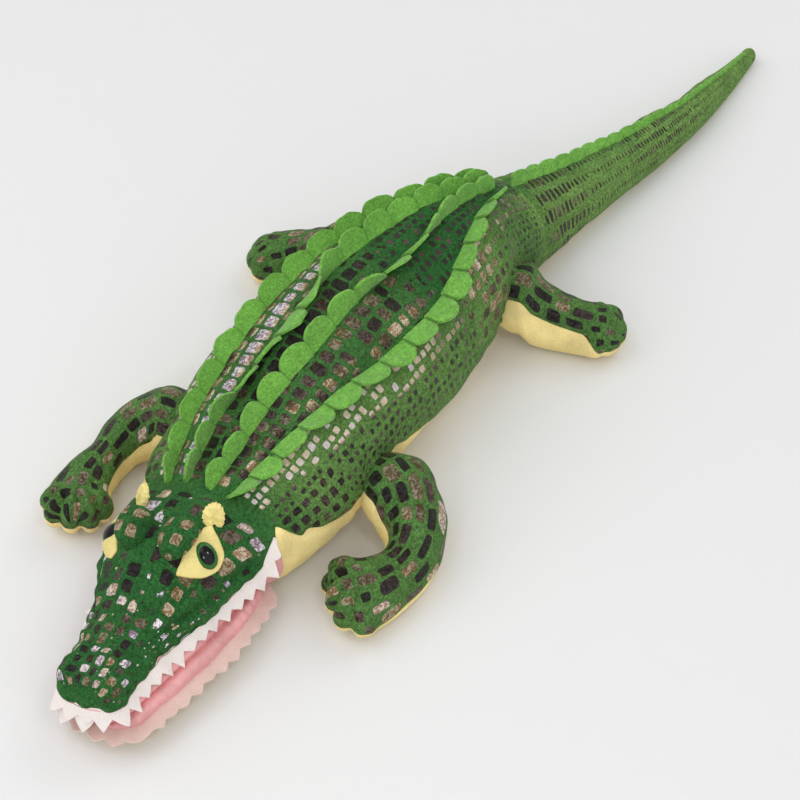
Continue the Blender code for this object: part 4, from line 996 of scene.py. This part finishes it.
def felt_cloth(name, colour, size_mm=2.6, contrast=0.24):
    """Pressed wool-mix felt: matte, with short matted fibres, painted light and shade among them, and painted shade in
    the creases between its scallops.
    """
    material, tree, shader, place = new_material(name)
    fibres = noise(tree, place, size_mm, 4.0, 0.75, 1.0)
    clouds = noise(tree, place, 12, 3.0)
    fibre_gap_shade = noise(tree, place, size_mm / 1.7, 2.0, 0.6)
    # Painted light on the higher fibres and painted shade between them
    tone = times(tree, toned(tree, fibres, 4.2, -1.6, colour, contrast, contrast),
                 toned(tree, fibre_gap_shade, 6.0, -2.2, WHITE, contrast, contrast * 0.2))
    tone = times(tree, tone, toned(tree, clouds, 2.0, -0.5, WHITE, contrast * 0.4, contrast * 0.4))
    # Painted shade in the creases between the scallops
    crease_shading = add(tree, "Attribute", {"attribute_name": "crease_shading"}).outputs["Fac"]
    fill(tree, shader, Base_Color=mix(tree, crease_shading, tone, scaled(colour, 0.38)),
         Normal=bumped(tree, fibres, 0.0028 * contrast), Roughness=0.95, Sheen_Weight=0.2, Specular_IOR_Level=0.15)
    return material


def eye_plastic(name, iris):
    """Moulded acrylic eye: a dark green iris ring round a black pupil under a clear gloss."""
    material, tree, shader = new_material(name)[:3]
    share = read_vector(tree, "ring")[1][0]
    edge, border = (maths(tree, "MULTIPLY", maths(tree, "SUBTRACT", share, start), 14.0, clamp=True)
                    for start in (0.66, 0.93))
    tone = mix(tree, border, mix(tree, edge, (0.002, 0.002, 0.002), iris), (0.006, 0.007, 0.006))
    fill(tree, shader, Base_Color=tone, Roughness=0.05, Specular_IOR_Level=0.30)
    return material


def floor_card(name, strength):
    """A pale matte studio card that keeps shadows."""
    material, tree, shader, place = new_material(name)
    tone = mix(tree, noise(tree, place, 25.0), scaled(WHITE, strength * 0.995), scaled(WHITE, strength * 1.005))
    fill(tree, shader, Base_Color=tone, Roughness=0.9, Specular_IOR_Level=0.1)
    return material


MATERIALS = {}
TRUNK = Trunk()
JAW = Jaw()


def spot_on(place):
    """A point on the middle line of the trunk."""
    return tuple(TRUNK.section(np.array([place]))[0][0])


# Spans of the trunk round the neck, the rump and the tail joint
BENDS = {
    "neck": (spot_on(0.030), spot_on(-0.026)),
    "rump": (spot_on(BODY_LENGTH - 0.024), spot_on(BODY_LENGTH + 0.024)),
    "tail": (spot_on(BODY_LENGTH + TAIL_FRONT - 0.025), spot_on(BODY_LENGTH + TAIL_FRONT + 0.025)),
}


def make_materials():
    """Makes each finish once."""
    colours = bpy.context.scene.crocodile_colours
    MATERIALS["trunk"] = foil_plush("foil printed plush, green", colours.head, colours.tail)
    MATERIALS["sole"] = plush("short pile plush of the soles, yellow", colours.belly, 0.07)
    MATERIALS["strip"] = felt_cloth("pressed felt, pale pink", colours.strip, 1.2, 0.07)
    MATERIALS["belly"] = plush("short pile plush, yellow", colours.belly, 0.07)
    MATERIALS["cream"] = plush("short pile plush, cream", colours.cream, 0.08)
    MATERIALS["lining"] = plush("velour, pink", colours.lining, 0.08, 1.3)
    MATERIALS["frill"] = felt_cloth("pressed felt, bright green", colours.frill)
    MATERIALS["teeth"] = felt_cloth("pressed felt, white", colours.teeth, 1.2, 0.06)
    MATERIALS["eye"] = eye_plastic("moulded acrylic, black and green", colours.iris)


def dress(piece, *names):
    """Gives a piece its materials, keeping the numbers on its faces."""
    for name in names:
        piece.data.materials.append(MATERIALS[name])
    return piece


class MakeCover(bpy.types.Operator):
    """Makes the stuffed cover of the head, the trunk and the tail"""
    bl_idname = "crocodile.make_cover"
    bl_label = "Cover"

    def execute(self, context):
        made = {}
        for name, first, last, count in (("cover_front", TRUNK.first, COVERS_MEET, 230),
                                         ("cover_rump", COVERS_MEET, TAILS_MEET, 150),
                                         ("cover_tail", TAILS_MEET, TRUNK.last, 150)):
            made[name] = dress(stuffed(name, TRUNK, first, last, count, (170, 60)), "trunk", "belly", "lining")
        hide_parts("body_back", "belly_panel", "body_stuffing", "head_skin",
                    "throat_panel", "palate_lining", "head_stuffing")
        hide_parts("tail_front_skin", "tail_front_panel", "tail_front_stuffing")
        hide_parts("tail_rear_skin", "tail_rear_panel", "tail_rear_stuffing")
        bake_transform(made["cover_front"])
        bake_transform(made["cover_rump"])
        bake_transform(made["cover_tail"])
        return {"FINISHED"}


class MakeLegs(bpy.types.Operator):
    """Makes the four stuffed legs with their paws"""
    bl_idname = "crocodile.make_legs"
    bl_label = "Legs"

    def execute(self, context):
        for name in LEGS:
            leg = Leg(name)
            piece = dress(stuffed(name + "_leg", leg, leg.first, leg.last, 90, (110, 60)), "trunk", "sole")
            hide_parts(name + "_leg_skin", name + "_sole", name + "_leg_stuffing")
            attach(piece, name + "_leg")
        return {"FINISHED"}


class MakeJaw(bpy.types.Operator):
    """Makes the stuffed lower jaw with its pink lining"""
    bl_idname = "crocodile.make_jaw"
    bl_label = "Lower jaw"

    def execute(self, context):
        piece = dress(stuffed("jaw_cover", JAW, JAW.first, JAW.last, 110, (90, 40)), "lining", "belly")
        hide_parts("jaw_skin", "jaw_lining", "jaw_stuffing")
        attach(piece, "jaw")
        return {"FINISHED"}


def mouth_edge(member, back, side):
    """Points along the edge of the mouth from the back on one side to the middle of the front."""
    inner = member.first + member.round_low
    place = np.concatenate([np.linspace(back, inner, 160), inner - member.round_low * quarter(40)[1:]])
    angle = member.seam(place, side) - 1 if member is TRUNK else 90.0
    return member.plain(place, side * angle + 0 * place)


def mouth_run(member, back):
    """Evenly spaced points round the edge of a jaw, their directions along, outwards and up, and the run so far."""
    points = np.concatenate([mouth_edge(member, back, 1.0), mouth_edge(member, back, -1.0)[-2::-1]])
    points = smooth_over(points, 3)
    count = int(round(arc_length(points)[-1] / STRIP_STEP))
    points = along(points, np.linspace(0, arc_length(points)[-1], count + 1))
    tangent = unit(smooth_over(unit(np.gradient(points, axis=0)), 6))
    up = TRUNK.section(np.array([-0.10]))[2][0] + np.zeros_like(points)
    out = unit(np.cross(up, tangent))
    middle = TRUNK.section(np.array([-0.09]))[0][0]
    sign = np.sign(np.median(np.sum(out * (points - middle), axis=-1)))
    return points, tangent, out * sign, up, np.arange(len(points)) * STRIP_STEP


def zigzag(phase, sharp=1.0):
    """Teeth between 0 in the notches and 1 at the tips."""
    return (1 - np.abs(2 * (phase % 1) - 1)) ** sharp


def uneven(phase, seed, spread):
    """A different factor for each tooth or scallop."""
    count = int(np.ceil(phase.max())) + 2
    return 1 + spread * np.random.default_rng(seed).uniform(-1, 1, count)[np.floor(phase).astype(int)]


def wave(run, length, shift=0):
    """A wave of a length along a run."""
    return np.sin(run * 2 * math.pi / length + shift)


def faded(run, spare, reach):
    """1 along a run, fading towards both ends."""
    return ease((run + spare) / reach) * ease((run[-1] + spare - run) / reach)


def tooth_strip(name, points, tangent, out, up, height, swing, half_thick, inward, raised, material):
    """A felt strip sewn to the edge of a jaw, swung outwards from hanging straight by an angle."""
    swing = np.radians(swing)[:, None]
    rise = unit(out * np.sin(swing) - up * np.cos(swing))
    thick = unit(np.cross(tangent, rise)) * half_thick
    return dress(strip(name, points - out * inward + up * raised, rise, thick, height), material)


class MakeTeeth(bpy.types.Operator):
    """Makes the felt strips of teeth along both jaws and the front teeth"""
    bl_idname = "crocodile.make_teeth"
    bl_label = "Teeth"

    def execute(self, context):
        sizes = context.scene.crocodile_sizes
        *edge, run = mouth_run(TRUNK, -0.006)
        phase = run / sizes.tooth_pitch
        tips = zigzag(phase, 1.1) * uneven(phase, 5, 0.42)
        height = sizes.tooth_length * (0.55 + 0.45 * tips) * (0.35 + 0.65 * faded(run, 0, 0.014))
        swing = 34 + 7 * wave(run, 0.045) + 4 * wave(run, 0.017)
        upper = tooth_strip("upper_teeth", *edge, height, swing, 0.0010, 0.0022, 0.0016, "teeth")
        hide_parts("upper_teeth_left", "upper_teeth_right")
        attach(upper, "head")

        *edge, run = mouth_run(JAW, -0.020)
        phase = run / (sizes.tooth_pitch * 1.06)
        tips = zigzag(phase, 0.85) * uneven(phase, 6, 0.30)
        height = sizes.lower_strip * (0.74 + 0.26 * tips) * (0.30 + 0.70 * faded(run, 0.004, 0.020))
        swing = 83 + 7 * wave(run, 0.052, 1) + 3 * wave(run, 0.02)
        lower = tooth_strip("lower_teeth", *edge, height, swing, 0.0010, 0.0020, 0, "strip")
        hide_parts("lower_teeth_left", "lower_teeth_right")
        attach(lower, "jaw")

        *edge, run = mouth_run(TRUNK, -0.120)
        middle = len(run) // 2 + int(0.016 / STRIP_STEP)
        reach = int(sizes.fang_length * 1.15 / STRIP_STEP)
        edge = [values[middle - reach:middle + reach] for values in edge]
        run = np.arange(len(edge[0])) * STRIP_STEP
        phase = run / run[-1] * 2.9999
        tips = zigzag(phase, 0.9) * uneven(phase, 8, 0.12)
        height = sizes.fang_length * (0.46 + 0.54 * tips) * faded(run, 0.010, 0.014)
        fangs = tooth_strip("front_teeth", *edge, height, 26 + 6 * np.sin(run * 90), 0.0011, 0.0040, 0.0008, "teeth")
        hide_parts("fangs")
        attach(fangs, "head")
        return {"FINISHED"}


def scallops(phase, band):
    """Round scallops over a band, 1 at their tops."""
    off = 2 * (phase % 1) - 1
    return band + (1 - band) * np.sqrt(np.maximum(1 - np.abs(off) ** 2.3, 0))


def frill_strip(name, first, last, angles, leans, pitch_at, height_at, thick, seed, band):
    """A scalloped felt strip sewn along the trunk."""
    fine = np.linspace(first, last, 2000)
    phase_fine = summed(np.diff(fine) / pitch_at(fine[1:]))
    count = int(round(phase_fine[-1]))
    phase_fine *= count / phase_fine[-1]
    phase = (np.arange(count)[:, None] + SCALLOP_SHARES).ravel()
    place = np.interp(phase, phase_fine, fine)
    lean = np.radians(curve(leans, place)[..., 0] + 3.5 * np.sin(phase * 2.1 + seed))[:, None]
    base = TRUNK.skin(place, curve(angles, place)[..., 0], -0.0012)[0]
    left = unit(TRUNK.section(place)[1] * (1, 1, 0))
    rise = unit(np.cos(lean) * (0, 0, 1) + left * np.sin(lean))
    tangent = unit(smooth_over(np.gradient(base, axis=0), 8))
    rise = unit(rise - tangent * np.sum(rise * tangent, axis=-1, keepdims=True))
    side = unit(np.cross(tangent, rise))
    height = height_at(place) * scallops(phase, band) * uneven(phase, seed, 0.05)
    curls = np.random.default_rng(seed).uniform(-0.12, 0.22, count + 2)
    curl = np.interp(phase, np.arange(count + 2) + 0.5, curls) * height_at(place)
    step = ((phase % 1) - 0.5) * thick * 0.85

    def slide(up):
        return side[:, None] * (curl[:, None] * up ** 2 + step[:, None] * np.minimum(up * 3 + 0.3, 1))[..., None]

    # Painted shade in the creases at the notches between the scallops
    notch_shade = 0.9 * hump(0.5 - np.abs((phase % 1) - 0.5), 0, 0.022)
    return dress(strip(name, base, rise, side * thick / 2, height, slide, notch_shade), "frill")


class MakeFrills(bpy.types.Operator):
    """Makes the felt frills of the back and the crest of the tail"""
    bl_idname = "crocodile.make_frills"
    bl_label = "Frills"

    def execute(self, context):
        sizes = context.scene.crocodile_sizes

        def pitch_at(place):
            return sizes.frill_pitch * (0.86 + 0.20 * hump(place, 0.18, 0.13))

        for seed, (name, (angles, leans)) in enumerate(FRILLS.items()):
            def height_at(place, share=0.84 if name == "frill_outer_right" else 1.0):
                tall = 0.72 + 0.28 * hump(place, 0.17, 0.15)
                return sizes.frill_height * tall * ease((place + 0.016) / 0.024) * share

            band = 0.50 if name == "frill_outer_left" else 0.40
            piece = frill_strip("felt_" + name, FRILL_FIRST - 0.002 * (seed % 2), FRILL_LAST, angles, leans, pitch_at,
                                height_at, sizes.felt, seed + 11, band)
            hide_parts(name)
            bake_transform(piece)

        def crest_pitch(place):
            return 0.0215 - 0.012 * ease((place - 0.43) / 0.36)

        def crest_height(place):
            return 0.0140 - 0.0100 * ease((place - 0.43) / 0.33)

        piece = frill_strip("felt_crest", CREST_FIRST, CREST_LAST, CREST_ANGLES, CREST_LEANS, crest_pitch, crest_height,
                            sizes.felt, 31, 0.5)
        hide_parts("crest_front", "crest_rear")
        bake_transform(piece)
        return {"FINISHED"}


def faced(degrees, side):
    """An angle on the left, or its mirror image on the right."""
    return degrees if side > 0 else MIRROR_DEG - degrees


def seated(place, degrees, side, lift=0.0):
    """A spot on the head, with the directions to its own side, up and ahead."""
    spot = TRUNK.skin(np.array(place), np.array(faced(degrees, side)), lift)[0]
    left, up = TRUNK.section(np.array(place))[1:3]
    return spot, left * side, up, np.cross(left, up)


def cushion(name, outline, side, height, rings, turns, power=2.0, spikes=0.0):
    """A padded patch on the head within an outline of places and angles."""
    outline = np.array(outline)
    middle = outline.mean(0)
    closed = np.concatenate([outline, outline[:1]])
    run = summed(np.hypot(np.diff(closed[:, 0]), np.diff(closed[:, 1]) * 0.001))
    knots = np.concatenate([run[:-1] - run[-1], run, run[1:] + run[-1]])
    around = np.concatenate([closed[:-1], closed, closed[1:]])
    edge = curve(np.concatenate([knots[:, None], around], 1), np.linspace(0, run[-1], turns + 1))
    share = quarter(rings + 1)
    teeth = spikes * zigzag(np.arange(turns + 1) / 2.0)[:, None]
    spot = middle + (edge - middle)[:, None, :] * (share * (1 + teeth * (share > 0.97)))[..., None]
    lift = (height + EDGE_SUNK) * np.maximum(1 - share ** power, 0) ** (1 / power) - EDGE_SUNK
    points = TRUNK.skin(spot[..., 0], faced(spot[..., 1], side), lift)[0]
    large = np.stack([spot[..., 0] / 0.0135, spot[..., 1] * 0.001 / 0.0125, 0.62 + 0 * spot[..., 0]], -1)
    none = np.zeros_like(large)
    return close_up(sheet_of(name, points, dict(zip(PRINTS, (large, none, none + (0.45, 0, 0))))), weld=0.00003)


def domed_eye(name, side, radius):
    """A domed plastic eye, taller than wide, turned a little ahead."""
    spot, outer, up, ahead = seated(*EYE_MIDDLE, side, 0.0030)
    facing = unit(0.45 * outer + 0.74 * up + 0.45 * ahead)
    level = unit(np.cross(facing, up))
    lean = math.radians(-10.0) * side
    first = level * math.cos(lean) + np.cross(level, facing) * math.sin(lean)
    second = np.cross(facing, first)
    share = quarter(25)
    turn = np.linspace(0, 2 * math.pi, 97)[:, None, None]
    flat = (0.70 * np.cos(turn) * first + np.sin(turn) * second) * radius
    rise = 0.44 * np.maximum(1 - share ** 2.2, 0) ** 0.5 - 0.14
    points = spot + flat * share[None, :, None] + facing * (radius * rise)[None, :, None]
    ring = np.zeros(points.shape)
    ring[..., 0] = share
    return close_up(sheet_of(name, points, {"ring": ring}), weld=0.00002)


def gathered_ear(name, side):
    """A round ear of plush, gathered at its edge and hollow in front."""
    seat, outer, up, ahead = seated(*EAR_MIDDLE, side)
    facing = unit(0.60 * outer + 0.50 * up + 0.62 * ahead)
    tall_way = unit(up - facing * (up @ facing) + 0.12 * outer)
    wide_way = np.cross(facing, tall_way)
    share = quarter(15)
    share = np.concatenate([share, share[-2::-1]])
    front = np.where(np.arange(len(share)) < 15, 1.0, -0.7)
    turn = np.linspace(0, 2 * math.pi, 121)[:, None]
    edge = 1 + 0.035 * np.sin(turn * 17) + 0.03 * np.sin(turn * 29 + side) + 0.06 * np.sin(turn * 3 + 0.5)
    edge = edge * (1 - 0.16 * hump(turn, math.pi * 1.5, 0.5))
    reach = share * (1 + (edge - 1) * share ** 4)
    wide = EAR_HALF_WIDTH * reach * np.cos(turn) * (1 - 0.12 * np.sin(turn))
    tall = EAR_HALF_HEIGHT * reach * np.sin(turn)
    depth = 0.0036 * front * np.maximum(1 - share ** 3, 0) ** 0.5
    depth = depth - 0.0030 * (front > 0) * hump(wide, 0, 0.0024) * hump(tall, -0.003, 0.006)
    points = (seat + tall_way * EAR_LIFT + wide_way * wide[..., None] + tall_way * tall[..., None]
              + facing * depth[..., None])
    points = points + facing * (0.0005 * ripple(points, 0.0045, 41) * (share < 0.99))[..., None]
    return close_up(sheet_of(name, points), weld=0.00003)


class MakeFace(bpy.types.Operator):
    """Makes the eyes, their patches, the eyelids and the ears"""
    bl_idname = "crocodile.make_face"
    bl_label = "Face"

    def execute(self, context):
        sizes = context.scene.crocodile_sizes
        for side, word in ((1.0, "left"), (-1.0, "right")):
            patch = dress(cushion("patch_" + word, PATCH_LINE, side, 0.0022, 14, 240, 5.0, 0.035), "cream")
            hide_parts("eye_patch_" + word)
            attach(patch, "head")

            eye = dress(domed_eye("plastic_eye_" + word, side, sizes.eye_radius), "eye")
            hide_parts("eye_" + word, "eye_washer_" + word)
            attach(eye, "head")

            nearer = 0.0 if side > 0 else 4.0
            outline = [(LID_MIDDLE[0] + LID_HALF_LENGTH * math.cos(turn),
                        LID_MIDDLE[1] - nearer + LID_HALF_DEG * math.sin(turn))
                       for turn in np.linspace(0, 2 * math.pi, 25)[:-1]]
            lid = dress(cushion("eyelid_" + word, outline, side, LID_HEIGHT, 26, 96, 3.4), "trunk")
            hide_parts("brow_" + word)
            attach(lid, "head")

            ear = dress(gathered_ear("plush_ear_" + word, side), "cream")
            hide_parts("ear_" + word)
            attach(ear, "head")
        return {"FINISHED"}


class MakeStage(bpy.types.Operator):
    """Makes the floor, the lights, the world and the camera"""
    bl_idname = "crocodile.make_stage"
    bl_label = "Stage"

    def execute(self, context):
        bpy.ops.object.select_all(action="DESELECT")
        bpy.ops.mesh.primitive_plane_add(size=FLOOR_SIZE, location=(0, 0, -0.0002))
        floor = name_it("studio_floor")
        floor.data.transform(floor.matrix_world)
        floor.matrix_world.identity()
        floor.data.materials.append(floor_card("matte card, pale grey", 0.80))

        scene = context.scene
        scene.view_settings.view_transform = "Standard"
        scene.world = bpy.data.worlds.new("studio light")
        scene.world.use_nodes = True
        back = scene.world.node_tree.nodes["Background"]
        back.inputs["Color"].default_value = WORLD_COLOUR
        back.inputs["Strength"].default_value = WORLD_STRENGTH
        for name, energy, size, spot in LAMPS:
            bpy.ops.object.light_add(type="AREA", location=spot)
            lamp = context.object
            lamp.name = name
            lamp.data.energy = energy
            lamp.data.size = size
            lamp.rotation_euler = (Vector((0, 0, 0.05)) - Vector(spot)).to_track_quat("-Z", "Y").to_euler()

        turn, lift = math.radians(CAMERA_TURN_DEG), math.radians(CAMERA_LIFT_DEG)
        look = Vector((-math.cos(turn) * math.cos(lift), -math.sin(turn) * math.cos(lift), -math.sin(lift)))
        camera_data = bpy.data.cameras.new("camera")
        camera = bpy.data.objects.new("camera", camera_data)
        scene.collection.objects.link(camera)
        camera.location = Vector(CAMERA_TARGET) - look * CAMERA_DISTANCE
        camera.rotation_euler = look.to_track_quat("-Z", "Y").to_euler()
        camera_data.sensor_width = SENSOR_MM
        camera_data.lens = FOCAL_PIXELS / PICTURE_PIXELS * SENSOR_MM
        camera_data.shift_x, camera_data.shift_y = (pixels / PICTURE_PIXELS for pixels in SHIFT_PIXELS)
        camera_data.clip_end = 60
        scene.camera = camera
        return {"FINISHED"}


CLASSES = [CrocodileColours, CrocodileSizes, MakeStage, MakeCover, MakeLegs, MakeJaw, MakeTeeth, MakeFrills,
           MakeFace]


class CrocodilePanel(bpy.types.Panel):
    """Lists the pieces and their settings"""
    bl_idname = "VIEW3D_PT_crocodile"
    bl_label = "Plush crocodile"
    bl_space_type = "VIEW_3D"
    bl_region_type = "UI"
    bl_category = "Crocodile"

    def draw(self, context):
        layout = self.layout
        for settings in (context.scene.crocodile_colours, context.scene.crocodile_sizes):
            for key in settings.bl_rna.properties.keys():
                if key not in ("rna_type", "name"):
                    layout.prop(settings, key)
        for kind in CLASSES:
            if issubclass(kind, bpy.types.Operator):
                layout.operator(kind.bl_idname)


def register():
    """Registers the settings, the operators and the panel."""
    for kind in CLASSES + [CrocodilePanel]:
        bpy.utils.register_class(kind)
    bpy.types.Scene.crocodile_colours = bpy.props.PointerProperty(type=CrocodileColours)
    bpy.types.Scene.crocodile_sizes = bpy.props.PointerProperty(type=CrocodileSizes)


def unregister():
    """Takes all that register added away again."""
    del bpy.types.Scene.crocodile_colours
    del bpy.types.Scene.crocodile_sizes
    for kind in reversed(CLASSES + [CrocodilePanel]):
        bpy.utils.unregister_class(kind)


def main():
    """Registers the settings and makes every piece in order."""
    register()
    make_materials()
    bpy.ops.crocodile.make_stage()
    bpy.ops.crocodile.make_cover()
    bpy.ops.crocodile.make_legs()
    bpy.ops.crocodile.make_jaw()
    bpy.ops.crocodile.make_teeth()
    bpy.ops.crocodile.make_frills()
    bpy.ops.crocodile.make_face()


if __name__ == "__main__":
    main()
